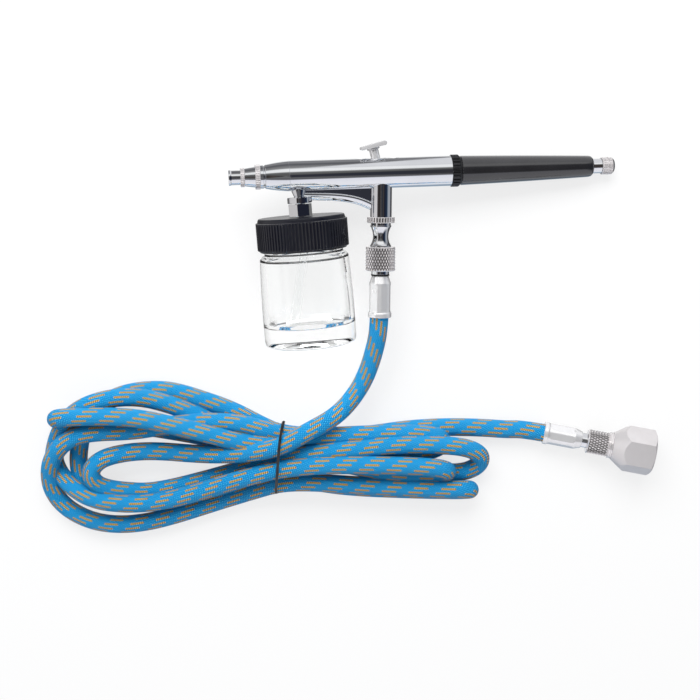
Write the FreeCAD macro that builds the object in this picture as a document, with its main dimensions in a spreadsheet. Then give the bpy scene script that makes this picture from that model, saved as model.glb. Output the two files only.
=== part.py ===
"""A dual-action airbrush with a glass siphon jar, a trigger valve and a braided air hose.

The gun lies on a table on its jar and its tail knob, with the hose wound in a tied hank beside it.
Millimetres, +Z up from the table, +X along the gun from nozzle to tail. The gun's own frame has X along
the barrel from the tip of the needle cap, Z towards the trigger and Y down to the table.
"""
import FreeCAD, Part
import math
import os

import Sketcher
from FreeCAD import Placement, Rotation, Vector

DIMENSIONS = {
    # stations along the barrel
    "cap_tube": 4.55, "cap_ring": 1.59, "cone_len": 4.16, "nozzle_ring": 1.94, "head_len": 11.31,
    "body_len": 64.1, "collar_len": 3.83, "handle_len": 54.0, "stub_len": 3.73, "knob_len": 5.0,
    # radii outside the barrel
    "cap_r": 2.85, "cap_lip_r": 3.05, "cap_ring_r": 3.75, "cone_front_r": 3.45, "cone_back_r": 4.05,
    "nozzle_ring_r": 4.85, "head_front_r": 4.5, "barrel_r": 5.95, "collar_r": 6.33, "handle_r": 5.6,
    "handle_tail_r": 4.28, "handle_end_r": 3.3, "stub_r": 2.9, "knob_r": 3.48,
    # bores and fits inside the barrel
    "running": 0.05, "needle_r": 0.6, "fluid_r": 1.0, "packing_r": 2.5, "chamber_r": 4.3, "spigot_r": 4.2,
    "head_spigot": 1.6, "seal_len": 0.7, "packing_at": 36.0, "packing_len": 2.5, "packing_screw": 5.4,
    "chamber_at": 46.0, "nozzle_spigot": 2.2, "nozzle_spigot_r": 3.2, "nozzle_out": 3.1, "nozzle_r": 1.2,
    "needle_out": 0.7, "needle_taper": 7.5, "needle_end": 132.0, "chuck_at": 64.0, "chuck_flange": 1.5,
    "chuck_flange_r": 3.8, "chuck_r": 1.6, "chuck_end": 112.0, "guide_at": 79.05, "guide_len": 3.0,
    "guide_tail": 16.0, "guide_tail_r": 2.6, "chuck_nut_at": 105.0, "chuck_nut_len": 8.5, "chuck_nut_r": 2.9,
    "handle_spigot": 5.2, "handle_bore_r": 3.2, "handle_bore_end": 128.0, "bush_len": 11.5, "bush_r": 2.4,
    "rod_r": 1.2, "rod_in": 12.7, "rod_cover": 1.2, "spring_wire": 0.7, "spring_r": 2.6, "spring_turns": 4,
    # trigger and its lever
    "valve_x": 60.0, "valve_lean": 2.2, "ball_drop": 3.4, "ball_r": 1.4, "stem_r": 1.8, "stem_lean": 12.1,
    "stem_len": 14.1, "pad_len": 9.4, "pad_width": 6.4, "pad_thick": 0.85, "pad_bead_r": 0.75, "pad_tilt": 3.4,
    "needle_slot": 1.7, "needle_slot_len": 5.6, "slot_front": 50.0, "slot_back": 67.1, "slot_width": 4.0,
    "pin_r": 0.7, "pin_len": 3.8, "lever_behind": 3.1, "lever_thick": 1.0, "lever_width": 3.0, "lever_top": 9.4, "lever_slot": 2.2,
    # valve, measured down from the barrel axis
    "post_r": 4.28, "post_end": 17.2, "post_bore_r": 3.0, "socket_r": 2.3,
    "valve_collar": 2.3, "valve_collar_r": 5.35, "valve_groove": 0.95, "valve_groove_r": 4.0,
    "waist_at": 24.9, "waist_r": 3.05, "foot_at": 28.5, "foot_r": 4.2, "foot_len": 0.4, "thread_r": 3.3,
    "valve_top": 7.5, "guide_hole_r": 0.95, "spring_chamber": 9.0,
    "spring_chamber_r": 2.0, "spring_chamber_end": 23.0, "outlet_r": 1.2,
    "disc_at": 10.0, "disc_len": 1.0, "disc_r": 1.75, "plunger_end": 15.0, "plunger_tail_r": 0.6,
    "valve_spring_end": 18.5, "valve_screw_len": 2.5, "valve_spring_r": 1.25, "valve_wire": 0.4,
    "valve_spring_turns": 7,
    # hose connection, measured on from the valve
    "nut_gap": 0.06, "nut_len": 9.55, "nut_r": 6.0, "nut_wall": 1.5, "nipple_flange": 0.8, "shank_r": 2.5,
    "neck_r": 3.55, "neck_len": 1.4, "seal_thick": 0.6, "barb_r": 2.1, "barb_len": 3.0, "hose_bore_r": 1.2,
    "ferrule_len": 16.7, "ferrule_neck_r": 3.3, "ferrule_r": 4.35, "ferrule_lip_r": 4.65,
    "ferrule_shoulder": 2.95, "ferrule_lip": 2.2, "hose_r": 3.75, "hose_grip": 13.0, "crimp_flat": 4.12,
    # arm between the valve post and the siphon
    "arm_r": 1.7, "web_thick": 1.1,
    # siphon, measured down from the barrel axis
    "siphon_x": 26.9, "siphon_lean": 2.5, "siphon_socket_end": 8.35, "siphon_socket_r": 2.5,
    "stem_collar": 2.3, "stem_collar_r": 4.7, "stem_tube_r": 1.9, "stem_spigot": 2.9, "stem_spigot_r": 1.5,
    "siphon_nut_at": 10.95, "siphon_nut_len": 4.7, "siphon_nut_flats": 8.2, "lid_at": 15.75,
    "stem_end": 20.0, "stem_barb": 5.0, "stem_barb_r": 1.2, "stem_bore_r": 0.8,
    # lid and jar
    "lid_top_r": 17.0, "lid_chamfer": 1.0, "lid_r": 18.1, "lid_ribs_end": 26.6, "lid_end": 28.9,
    "lid_skirt_r": 17.1, "lid_top": 2.2, "rib_depth": 0.45, "rib_count": 84, "gasket_thick": 1.0,
    "jar_neck_r": 15.6, "jar_mouth_r": 12.6, "jar_neck_end": 30.2, "jar_shoulder_r": 17.6, "jar_base_r": 18.35,
    "jar_end": 66.7, "jar_floor": 59.3, "jar_wall": 2.1, "jar_corner": 2.6, "jar_shoulder": 1.6,
    "dip_r": 2.0, "dip_bore_r": 1.25, "dip_straight": 30.0, "dip_bend": -12.0, "dip_end": 57.0,
    # far fitting, measured on from the hose's end
    "far_ferrule": 15.9, "far_neck_r": 3.0, "far_neck": 2.3, "far_sleeve": 9.0, "far_sleeve_r": 5.1,
    "far_flange": 1.4, "far_flange_r": 5.4, "far_cone": 6.8, "far_hex": 10.4, "far_flats": 17.0,
    "far_thread_r": 6.58, "far_thread": 8.45, "far_seat_r": 5.7, "far_seat": 1.05, "far_bore_r": 3.1,
    "far_washer": 0.9, "far_x": 51.7,
    "far_y": -80.0, "far_yaw": -9.6,
    # hank of hose and its tie
    "hank_height": 22.5, "tie_width": 1.3, "tie_thick": 0.7,
}

# the gun's turn about the table's upright, towards the trigger
GUN_YAW = 1.7
# how much of the shorter run beside a corner the hose's bend there takes up
ARC_SHARE = 0.45


class Size:
    """A size worked out from the sheet: its number now, and the expression that keeps it bound."""

    def __init__(self, text, number):
        self.text = text
        self.number = number

    @staticmethod
    def of(value):
        return value if isinstance(value, Size) else Size(repr(float(value)), float(value))

    def __add__(self, other):
        other = Size.of(other)
        return Size(f"({self.text} + {other.text})", self.number + other.number)

    def __radd__(self, other):
        return Size.of(other) + self

    def __sub__(self, other):
        other = Size.of(other)
        return Size(f"({self.text} - {other.text})", self.number - other.number)

    def __rsub__(self, other):
        return Size.of(other) - self

    def __mul__(self, other):
        other = Size.of(other)
        return Size(f"({self.text} * {other.text})", self.number * other.number)

    def __rmul__(self, other):
        return Size.of(other) * self

    def __truediv__(self, other):
        other = Size.of(other)
        return Size(f"({self.text} / {other.text})", self.number / other.number)

    def __float__(self):
        return self.number


class Sheet:
    """The document's spreadsheet of driving dimensions; sheet.name is the Size of that cell."""

    def __init__(self, document, dimensions):
        self.cells = document.addObject("Spreadsheet::Sheet", "Dims")
        self.known = dimensions
        for row, (name, number) in enumerate(dimensions.items(), 1):
            self.cells.set(f"A{row}", name)
            self.cells.set(f"B{row}", str(number))
            self.cells.setAlias(f"B{row}", name)
        document.recompute()

    def __getattr__(self, name):
        return Size(f"Dims.{name}", float(self.known[name]))


doc = FreeCAD.newDocument("Airbrush")
dims = Sheet(doc, DIMENSIONS)
pieces = {}


def piece(item, name, frame):
    """Names a finished sub-part after its file and keeps the frame that it is placed by."""
    item.Label = name
    pieces[name] = (item, frame)
    return item


def plane_of(body, role):
    return next(f for f in body.Origin.OriginFeatures if f.Role == role)


def bind(target, path, size):
    size = Size.of(size)
    target.setExpression(path, size.text)


def outline(body, label, role, points, offset=None):
    """A closed sketch on an origin plane; a point is (along, across) or (along, across, bulge).

    A bulge makes the edge that leaves the point an arc whose middle stands that far to its left.
    """
    sketch = body.newObject("Sketcher::SketchObject", label)
    sketch.AttachmentSupport = [(plane_of(body, role), "")]
    sketch.MapMode = "FlatFace"
    if offset is not None:
        sketch.AttachmentOffset = Placement(Vector(0, 0, float(offset)), Rotation())
        bind(sketch, "AttachmentOffset.Base.z", offset)
    spots = [Vector(float(p[0]), float(p[1]), 0) for p in points]
    ends = []
    for i, point in enumerate(points):
        start, end = spots[i], spots[(i + 1) % len(spots)]
        if len(point) == 3:
            run = end - start
            side = Vector(-run.y, run.x, 0).normalize()
            middle = (start + end) * 0.5 + side * float(point[2])
            sketch.addGeometry(Part.Arc(start, middle, end), False)
        else:
            sketch.addGeometry(Part.LineSegment(start, end), False)
        ends.append((1, 2) if sketch.getPoint(i, 1).distanceToPoint(start) < 1e-6 else (2, 1))
    for i, point in enumerate(points):
        following = (i + 1) % len(points)
        sketch.addConstraint(Sketcher.Constraint("Coincident", i, ends[i][1], following, ends[following][0]))
        for kind, axis, size, mark in (("DistanceX", -2, point[0], "x"), ("DistanceY", -1, point[1], "y")):
            if not isinstance(size, Size) and size == 0:
                sketch.addConstraint(Sketcher.Constraint("PointOnObject", i, ends[i][0], axis))
                continue
            index = sketch.addConstraint(Sketcher.Constraint(kind, -1, 1, i, ends[i][0], float(size)))
            sketch.renameConstraint(index, f"{mark}{i}")
            bind(sketch, f"Constraints.{mark}{i}", size)
        if len(point) == 3:
            after = points[following]
            run_x, run_y = Size.of(after[0]) - point[0], Size.of(after[1]) - point[1]
            bulge = Size.of(abs(float(point[2]))) if not isinstance(point[2], Size) else point[2]
            radius = (run_x * run_x + run_y * run_y) / (8 * bulge) + bulge / 2
            index = sketch.addConstraint(Sketcher.Constraint("Radius", i, float(radius)))
            sketch.renameConstraint(index, f"radius{i}")
            bind(sketch, f"Constraints.radius{i}", radius)
    return sketch


def new_body(name):
    return doc.addObject("PartDesign::Body", name + "_body")


def revolved(name, points):
    """A body turned about its X axis from a closed outline of (along, radius) points."""
    body = new_body(name)
    sketch = outline(body, name + "_outline", "XY_Plane", points)
    turned = body.newObject("PartDesign::Revolution", name + "_turned")
    turned.Profile = sketch
    turned.ReferenceAxis = (sketch, ["H_Axis"])
    turned.Angle = 360
    return body


def turned(name, points, frame):
    return piece(revolved(name, points), name, frame)


def cuts_round(body, name, points, end, length, count):
    """Cuts one outline of (across, out) points along X, ending at end, and repeats it round the axis."""
    sketch = outline(body, name + "_cut", "YZ_Plane", points, end)
    pocket = body.newObject("PartDesign::Pocket", name + "_pocket")
    pocket.Profile = sketch
    bind(pocket, "Length", length)
    doc.recompute()
    pattern = body.newObject("PartDesign::PolarPattern", name + "_pattern")
    pattern.Originals = [pocket]
    pattern.Axis = (sketch, ["N_Axis"])
    pattern.Angle = 360
    pattern.Occurrences = int(float(count))
    if isinstance(count, Size):
        bind(pattern, "Occurrences", count)
    body.Tip = pattern
    return body


def vee(radius, depth, half_width):
    """The outline of a V groove that reaches depth into a round of this radius."""
    return [(-1 * half_width, radius + 0.3), (0, radius - depth), (half_width, radius + 0.3)]


def padded(name, points, role, thickness):
    """A plate: an outline on an origin plane, half its thickness to each side."""
    body = new_body(name)
    sketch = outline(body, name + "_outline", role, points)
    pad = body.newObject("PartDesign::Pad", name + "_pad")
    pad.Profile = sketch
    pad.Midplane = True
    bind(pad, "Length", thickness)
    return body


def cylinder(name, radius, start, length, frame):
    """A primitive round bar along the X axis of a frame, from start on."""
    bar = doc.addObject("Part::Cylinder", name)
    bind(bar, "Radius", radius)
    bind(bar, "Height", length)
    bar.Placement = frame.multiply(Placement(Vector(float(start), 0, 0), Rotation(Vector(0, 1, 0), 90)))
    return bar


def box(name, low, high, frame):
    """A primitive block between two corners given in a frame."""
    block = doc.addObject("Part::Box", name)
    for path, a, b in zip(("Length", "Width", "Height"), low, high):
        bind(block, path, Size.of(b) - a)
    block.Placement = frame.multiply(Placement(Vector(*(float(a) for a in low)), Rotation()))
    return block


def joined(name, items):
    fusion = doc.addObject("Part::MultiFuse", name)
    fusion.Shapes = items
    return fusion


def cut(name, base, tool):
    result = doc.addObject("Part::Cut", name)
    result.Base = base
    result.Tool = tool
    return result


def rounded_path(points):
    """A wire of straight runs joined by tangent arcs through a list of points, with the arcs' radii."""
    edges, used, here = [], [], points[0]
    for i in range(1, len(points) - 1):
        before, corner, after = points[i - 1], points[i], points[i + 1]
        into, out = corner - before, after - corner
        half_turn = into.getAngle(out) / 2
        radius = ARC_SHARE * min(into.Length, out.Length) / math.tan(half_turn)
        reach = radius * math.tan(half_turn)
        into.normalize()
        out.normalize()
        start, end = corner - into * reach, corner + out * reach
        inward = (out - into).normalize()
        middle = corner + inward * (radius / math.cos(half_turn) - radius)
        edges += [Part.LineSegment(here, start).toShape(), Part.Arc(start, middle, end).toShape()]
        used.append(radius)
        here = end
    edges.append(Part.LineSegment(here, points[-1]).toShape())
    return Part.Wire(edges), used


def tube_along(wire, radius, bore=None):
    """A round bar, or a tube with a bore, swept along a wire."""
    start = wire.Edges[0]
    place, heading = start.valueAt(start.FirstParameter), start.tangentAt(start.FirstParameter)
    def swept(size):
        ring = Part.Wire([Part.makeCircle(size, place, heading)])
        return wire.makePipeShell([ring], True, False)
    bar = swept(radius)
    return bar.cut(swept(bore)) if bore else bar


def set_shape(name, shape, frame, finished=True):
    feature = doc.addObject("Part::Feature", name)
    feature.Shape = shape
    if finished:
        return piece(feature, name, frame)
    return feature


def coil(length, radius, wire_radius, turns):
    """A compression spring about the Z axis with its wire's centres from 0 to length."""
    helix = Part.makeHelix(length / turns, length, radius)
    ring = Part.Wire([Part.makeCircle(wire_radius, Vector(radius, 0, 0), Vector(0, 1, 0))])
    return Part.Wire(helix.Edges).makePipeShell([ring], True, True)


def set_coil(name, shape, start, frame):
    """Stands a spring, made about Z, along a frame's X axis from start on."""
    return set_shape(name, shape, frame.multiply(Placement(Vector(float(start), 0, 0), Rotation(Vector(0, 1, 0), 90))))


def hexagon(flats):
    """The corners of a hexagon across (y, z) with a flat towards +z and -z."""
    half = flats / 2
    side = half * (1 / math.cos(math.radians(30)))
    return [(side, 0), (side / 2, half), (-1 * side / 2, half), (-1 * side, 0), (-1 * side / 2, -1 * half),
            (side / 2, -1 * half)]


def hexagonal(name, flats, start, length):
    body = new_body(name)
    sketch = outline(body, name + "_outline", "YZ_Plane", hexagon(flats), start)
    pad = body.newObject("PartDesign::Pad", name + "_pad")
    pad.Profile = sketch
    bind(pad, "Length", length)
    return body


GUN = Placement()
VALVE = Placement(Vector(float(dims.valve_x), 0, 0), Rotation(Vector(0, 1, 0), 90 + float(dims.valve_lean)))
SIPHON = Placement(Vector(float(dims.siphon_x), 0, 0), Rotation(Vector(0, 1, 0), 90 - float(dims.siphon_lean)))


# ---------------------------------------------------------------- stations along the barrel
ring_at = dims.cap_tube
cone_at = ring_at + dims.cap_ring
nozzle_ring_at = cone_at + dims.cone_len
head_at = nozzle_ring_at + dims.nozzle_ring
body_at = head_at + dims.head_len
collar_at = body_at + dims.body_len
handle_at = collar_at + dims.collar_len
handle_end = handle_at + dims.handle_len
stub_end = handle_end + dims.stub_len
knob_end = stub_end + dims.running + dims.knob_len
# down the siphon, where the stem seats under the barrel's collar
stem_at = dims.siphon_socket_end + dims.stem_collar
bore_r = dims.needle_r + dims.running


def make_front():
    """Needle cap, nozzle cap, nozzle, head and its seal."""
    socket_r, spigot_r = dims.cap_r - 0.2, dims.cap_r - 0.25
    cap = revolved("needle_cap", [
        (0, spigot_r), (0, dims.cap_lip_r), (0.5, dims.cap_lip_r), (1.1, dims.cap_r), (ring_at, dims.cap_r),
        (ring_at, dims.cap_ring_r), (cone_at, dims.cap_ring_r), (cone_at, spigot_r),
        (cone_at + 1.6, spigot_r), (cone_at + 1.6, 1.7), (3.2, 1.7)])
    cuts_round(cap, "needle_cap", vee(dims.cap_ring_r, 0.25, 0.3), cone_at, dims.cap_ring, 36)
    cuts_round(cap, "needle_cap_crown", [(-0.6, 1), (-0.6, 4), (0.6, 4), (0.6, 1)], 0.9, 0.9, 4)
    piece(cap, "needle_cap", GUN)
    front_wall = head_at - dims.nozzle_spigot - dims.running
    inner_r = dims.nozzle_spigot_r + dims.running
    nozzle_cap = revolved("nozzle_cap", [
        (cone_at, socket_r), (cone_at, dims.cone_front_r), (nozzle_ring_at, dims.cone_back_r),
        (nozzle_ring_at, dims.nozzle_ring_r), (head_at, dims.nozzle_ring_r), (head_at, inner_r),
        (front_wall - 0.8, inner_r), (front_wall - 1.4, 1.05), (cone_at + 1.7, 1.05), (cone_at + 1.65, socket_r)])
    cuts_round(nozzle_cap, "nozzle_cap", vee(dims.nozzle_ring_r, 0.3, 0.35), head_at, dims.nozzle_ring, 40)
    piece(nozzle_cap, "nozzle_cap", GUN)
    spigot_at = head_at - dims.nozzle_spigot
    tip = spigot_at - dims.nozzle_out
    turned("fluid_nozzle", [
        (tip, 0.4), (tip, 0.55), (spigot_at - 0.7, 0.9), (spigot_at - 0.7, 1.8), (spigot_at, 1.8),
        (spigot_at, dims.nozzle_r), (spigot_at + 3, dims.nozzle_r), (spigot_at + 3, 0.8), (spigot_at - 0.7, 0.8)],
        GUN)
    nozzle_bore = dims.nozzle_r + dims.running
    turned("head", [
        (spigot_at, nozzle_bore), (spigot_at, dims.nozzle_spigot_r), (head_at, dims.nozzle_spigot_r),
        (head_at, dims.head_front_r), (head_at + 1.2, dims.head_front_r + 0.12),
        (head_at + 1.35, dims.head_front_r - 0.08), (head_at + 1.85, dims.head_front_r - 0.05),
        (head_at + 2, dims.head_front_r + 0.25, 0.12), (body_at, dims.barrel_r), (body_at, dims.spigot_r),
        (body_at + dims.head_spigot, dims.spigot_r), (body_at + dims.head_spigot, dims.fluid_r),
        (spigot_at + 3.1, dims.fluid_r), (spigot_at + 3.1, nozzle_bore)], GUN)
    seal_at = body_at + dims.head_spigot
    turned("head_seal", [
        (seal_at, dims.fluid_r), (seal_at, dims.spigot_r), (seal_at + dims.seal_len, dims.spigot_r),
        (seal_at + dims.seal_len, dims.fluid_r)], GUN)


def arm_path():
    """The arm's centre line in the gun's frame, from the siphon socket to the valve post."""
    start = SIPHON.multVec(Vector(8.0, 0, 0)) + Vector(0.6, 0, 0)
    points = [start, Vector(35.2, 0, -8.4), Vector(41.7, 0, -8.75), Vector(48.3, 0, -9.8), Vector(53.5, 0, -11.6),
              VALVE.multVec(Vector(14.9, 0, 0))]
    return rounded_path(points)[0]


def make_barrel_body():
    """The barrel with its valve post, siphon socket, arm and web, and the bores through them."""
    barrel = revolved("barrel_shell", [(body_at, 0), (body_at, dims.barrel_r), (collar_at, dims.barrel_r),
                                       (collar_at, 0)])
    post = cylinder("valve_post", dims.post_r, 0, dims.post_end, VALVE)
    socket = revolved("siphon_socket", [
        (0, 0), (0, dims.siphon_socket_r - 0.6), (6.3, dims.siphon_socket_r - 0.6), (7.2, dims.siphon_socket_r),
        (dims.siphon_socket_end, dims.siphon_socket_r), (dims.siphon_socket_end, dims.stem_collar_r - 0.2),
        (dims.siphon_socket_end + 0.2, dims.stem_collar_r), (stem_at, dims.stem_collar_r), (stem_at, 0)])
    socket.Placement = SIPHON
    wire = arm_path()
    arm = set_shape("arm_tube", tube_along(wire, float(dims.arm_r)), GUN, False)
    web = padded("arm_web", [(28.5, -4.5), (28.5, -8.2), (35.2, -8.2), (48.3, -9.4), (57.5, -13.2), (57.5, -4.5)],
                 "XZ_Plane", dims.web_thick)
    solid = joined("barrel_solid", [barrel, post, socket, arm, web])
    front_end = body_at + dims.head_spigot + dims.seal_len
    fit = dims.running
    bores = revolved("barrel_bores", [
        (body_at - 1, 0), (body_at - 1, dims.spigot_r + fit), (front_end, dims.spigot_r + fit),
        (front_end, dims.fluid_r), (dims.packing_at, dims.fluid_r), (dims.packing_at, dims.packing_r + fit),
        (dims.chamber_at, dims.packing_r + fit), (dims.chamber_at, dims.chamber_r),
        (collar_at + 1, dims.chamber_r), (collar_at + 1, 0)])
    half_slot = dims.slot_width / 2
    slot = box("trigger_slot", (dims.slot_front + half_slot, -1 * half_slot, 0),
               (dims.slot_back - half_slot, half_slot, dims.barrel_r + 1), GUN)
    ends = [doc.addObject("Part::Cylinder", f"slot_end_{side}") for side in ("front", "back")]
    for item, at in zip(ends, (dims.slot_front + half_slot, dims.slot_back - half_slot)):
        bind(item, "Radius", half_slot)
        bind(item, "Height", dims.barrel_r + 1)
        bind(item, "Placement.Base.x", at)
    valve_bores = revolved("valve_bores", [
        (0, 0), (0, dims.socket_r), (dims.valve_top, dims.socket_r), (dims.valve_top, dims.post_bore_r),
        (dims.post_end + 1, dims.post_bore_r), (dims.post_end + 1, 0)])
    valve_bores.Placement = VALVE
    spigot_r = dims.stem_spigot_r + fit
    spigot_top = stem_at - dims.stem_spigot - fit
    siphon_bores = revolved("siphon_bores", [
        (0, 0), (0, dims.stem_bore_r), (spigot_top, dims.stem_bore_r), (spigot_top, spigot_r),
        (stem_at + 1, spigot_r), (stem_at + 1, 0)])
    siphon_bores.Placement = SIPHON
    hollow = joined("barrel_hollows", [bores, slot, *ends, valve_bores, siphon_bores])
    piece(cut("barrel_cut", solid, hollow), "barrel_body", GUN)


def make_needle_train():
    """Needle, packing, chuck, spring, guide and chuck nut on the barrel's axis."""
    tip = head_at - dims.nozzle_spigot - dims.nozzle_out - dims.needle_out
    turned("needle", [(tip, 0), (tip + dims.needle_taper, dims.needle_r), (dims.needle_end - 0.4, dims.needle_r),
                      (dims.needle_end, dims.needle_r - 0.3), (dims.needle_end, 0)], GUN)
    screw_at = dims.packing_at + dims.packing_len
    turned("needle_packing", [(dims.packing_at, bore_r), (dims.packing_at, dims.packing_r),
                              (screw_at, dims.packing_r), (screw_at, bore_r)], GUN)
    screw_end = screw_at + dims.packing_screw
    screw = revolved("packing_screw", [(screw_at, bore_r + 0.15), (screw_at, dims.packing_r),
                                       (screw_end, dims.packing_r), (screw_end, bore_r + 0.15)])
    cuts_round(screw, "packing_screw", [(-0.4, 0.2), (-0.4, 3), (0.4, 3), (0.4, 0.2)], screw_end, 1.2, 2)
    piece(screw, "packing_screw", GUN)
    flange_end = dims.chuck_at + dims.chuck_flange
    turned("needle_chuck", [
        (dims.chuck_at, bore_r), (dims.chuck_at, dims.chuck_flange_r), (flange_end, dims.chuck_flange_r),
        (flange_end, dims.chuck_r), (dims.chuck_end, dims.chuck_r), (dims.chuck_end, bore_r)], GUN)
    wire_r = dims.spring_wire / 2
    spring = coil(float(dims.guide_at - flange_end - dims.spring_wire), float(dims.spring_r), float(wire_r),
                  float(dims.spring_turns))
    set_coil("needle_spring", spring, flange_end + wire_r, GUN)
    guide_end = dims.guide_at + dims.guide_len
    guide_bore = dims.chuck_r + dims.running
    turned("spring_guide", [
        (dims.guide_at, guide_bore), (dims.guide_at, dims.spigot_r + dims.running), (guide_end, dims.spigot_r + dims.running),
        (guide_end, dims.guide_tail_r), (guide_end + dims.guide_tail, dims.guide_tail_r),
        (guide_end + dims.guide_tail, guide_bore)], GUN)
    nut_end = dims.chuck_nut_at + dims.chuck_nut_len
    nut = revolved("chuck_nut", [
        (dims.chuck_nut_at, guide_bore), (dims.chuck_nut_at, dims.chuck_nut_r), (nut_end - 0.6, dims.chuck_nut_r),
        (nut_end, dims.chuck_nut_r - 0.6), (nut_end, bore_r), (dims.chuck_end + 0.3, bore_r),
        (dims.chuck_end + 0.05, guide_bore)])
    cuts_round(nut, "chuck_nut", vee(dims.chuck_nut_r, 0.25, 0.3), nut_end - 1, dims.chuck_nut_len - 2, 24)
    piece(nut, "chuck_nut", GUN)


def make_tail():
    """Fluted collar, handle, tail bush, stop rod and preset knob."""
    bore = dims.spigot_r + 2 * dims.running
    collar = revolved("handle_ring", [
        (collar_at, bore), (collar_at, dims.collar_r - 0.2), (collar_at + 0.2, dims.collar_r),
        (handle_at - 0.5, dims.collar_r), (handle_at, dims.collar_r - 0.5), (handle_at, bore)])
    cuts_round(collar, "handle_ring", vee(dims.collar_r, 0.4, 0.5), handle_at, dims.collar_len, 36)
    piece(collar, "handle_ring", GUN)
    spigot_at = collar_at - dims.handle_spigot
    bush_at = handle_end - dims.bush_len
    fit_r = dims.spigot_r + dims.running
    bush_hole = dims.bush_r + dims.running
    turned("handle", [
        (spigot_at, dims.handle_bore_r), (spigot_at, fit_r), (handle_at, fit_r), (handle_at, dims.handle_r),
        (handle_end - 1.6, dims.handle_tail_r, 0.35), (handle_end, dims.handle_end_r), (handle_end, bush_hole),
        (dims.handle_bore_end, bush_hole), (dims.handle_bore_end, dims.handle_bore_r)], GUN)
    rod_hole = dims.rod_r + dims.running
    turned("tail_bush", [
        (bush_at, rod_hole), (bush_at, dims.bush_r), (handle_end, dims.bush_r), (handle_end, dims.stub_r),
        (stub_end, dims.stub_r), (stub_end, rod_hole)], GUN)
    knob_at = stub_end + dims.running
    rod_end = knob_end - dims.rod_cover
    turned("stop_rod", [(stub_end - dims.rod_in, 0), (stub_end - dims.rod_in, dims.rod_r),
                        (rod_end, dims.rod_r), (rod_end, 0)], GUN)
    groove_at = knob_at + 2.1
    knob = revolved("tail_knob", [
        (knob_at, rod_hole), (knob_at, dims.knob_r - 0.25), (knob_at + 0.25, dims.knob_r),
        (groove_at, dims.knob_r), (groove_at, dims.knob_r - 0.35), (groove_at + 0.4, dims.knob_r - 0.35),
        (groove_at + 0.4, dims.knob_r), (knob_end - 0.9, dims.knob_r), (knob_end, dims.knob_r - 0.9),
        (knob_end, 0), (rod_end + dims.running, 0), (rod_end + dims.running, rod_hole)])
    cuts_round(knob, "tail_knob", vee(dims.knob_r, 0.25, 0.3), knob_end, dims.knob_len, 32)
    piece(knob, "tail_knob", GUN)


def swing_frame(x, z, lean):
    """A frame on the barrel's mid plane with Z leaning towards the nozzle by so many degrees."""
    return Placement(Vector(x, 0, z), Rotation(Vector(0, 1, 0), -lean))


TRIGGER_X = float(dims.valve_x) - math.tan(math.radians(float(dims.valve_lean))) * float(dims.ball_drop)
TRIGGER = swing_frame(TRIGGER_X, -float(dims.ball_drop), float(dims.stem_lean))
LEVER = swing_frame(TRIGGER_X + float(dims.lever_behind), -float(dims.ball_drop), float(dims.stem_lean))


def make_trigger():
    """The finger trigger on its ball, and the lever behind it that pushes the chuck back."""
    half = dims.pad_len / 2
    tilt = math.tan(math.radians(float(dims.pad_tilt)))
    top = dims.stem_len
    rise = half * tilt
    pad = padded("trigger_pad", [
        (-1 * half, top - rise), (half, top + rise), (half, top + rise + dims.pad_thick, 0.5),
        (-1 * half, top - rise + dims.pad_thick)], "XZ_Plane", dims.pad_width)
    bead_turn = Rotation(Vector(1, 0, 0), 90)
    beads = []
    for side, height in ((-1, top - rise), (1, top + rise + dims.pad_thick)):
        bead = doc.addObject("Part::Cylinder", "pad_bead")
        bind(bead, "Radius", dims.pad_bead_r)
        bind(bead, "Height", dims.pad_width)
        bead.Placement = Placement(Vector(side * float(half), float(dims.pad_width) / 2, float(height)), bead_turn)
        beads.append(bead)
    stem = doc.addObject("Part::Cylinder", "trigger_stem")
    bind(stem, "Radius", dims.stem_r)
    bind(stem, "Height", dims.stem_len + dims.pad_thick / 4 - 0.6)
    stem.Placement = Placement(Vector(0, 0, 0.6), Rotation())
    ball = doc.addObject("Part::Sphere", "trigger_ball")
    bind(ball, "Radius", dims.ball_r)
    pin = doc.addObject("Part::Cylinder", "trigger_pin")
    bind(pin, "Radius", dims.pin_r)
    bind(pin, "Height", dims.pin_len)
    pin.Placement = Placement(Vector(0, float(dims.pin_len) / 2, 0), bead_turn)
    half_slot = dims.needle_slot / 2
    slot = box("needle_slot", (-1 * dims.stem_r - 1, -1 * half_slot, 1.2),
               (dims.stem_r + 1, half_slot, 1.2 + dims.needle_slot_len), GUN)
    solid = joined("trigger_solid", [pad, stem, ball, pin, *beads])
    piece(cut("trigger_cut", solid, slot), "trigger", TRIGGER)
    half_thick, half_width = dims.lever_thick / 2, dims.lever_width / 2
    plate = box("lever_plate", (-1 * half_thick, -1 * half_width, 0), (half_thick, half_width, dims.lever_top), GUN)
    hub = doc.addObject("Part::Cylinder", "lever_hub")
    bind(hub, "Radius", dims.lever_thick / 2)
    bind(hub, "Height", dims.lever_width)
    hub.Placement = Placement(Vector(0, float(dims.lever_width) / 2, 0), bead_turn)
    half_gap = dims.lever_slot / 2
    gap = box("lever_gap", (-2, -1 * half_gap, 1.2), (2, half_gap, 6.4), GUN)
    piece(cut("lever_cut", joined("lever_solid", [plate, hub]), gap), "back_lever", LEVER)


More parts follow.
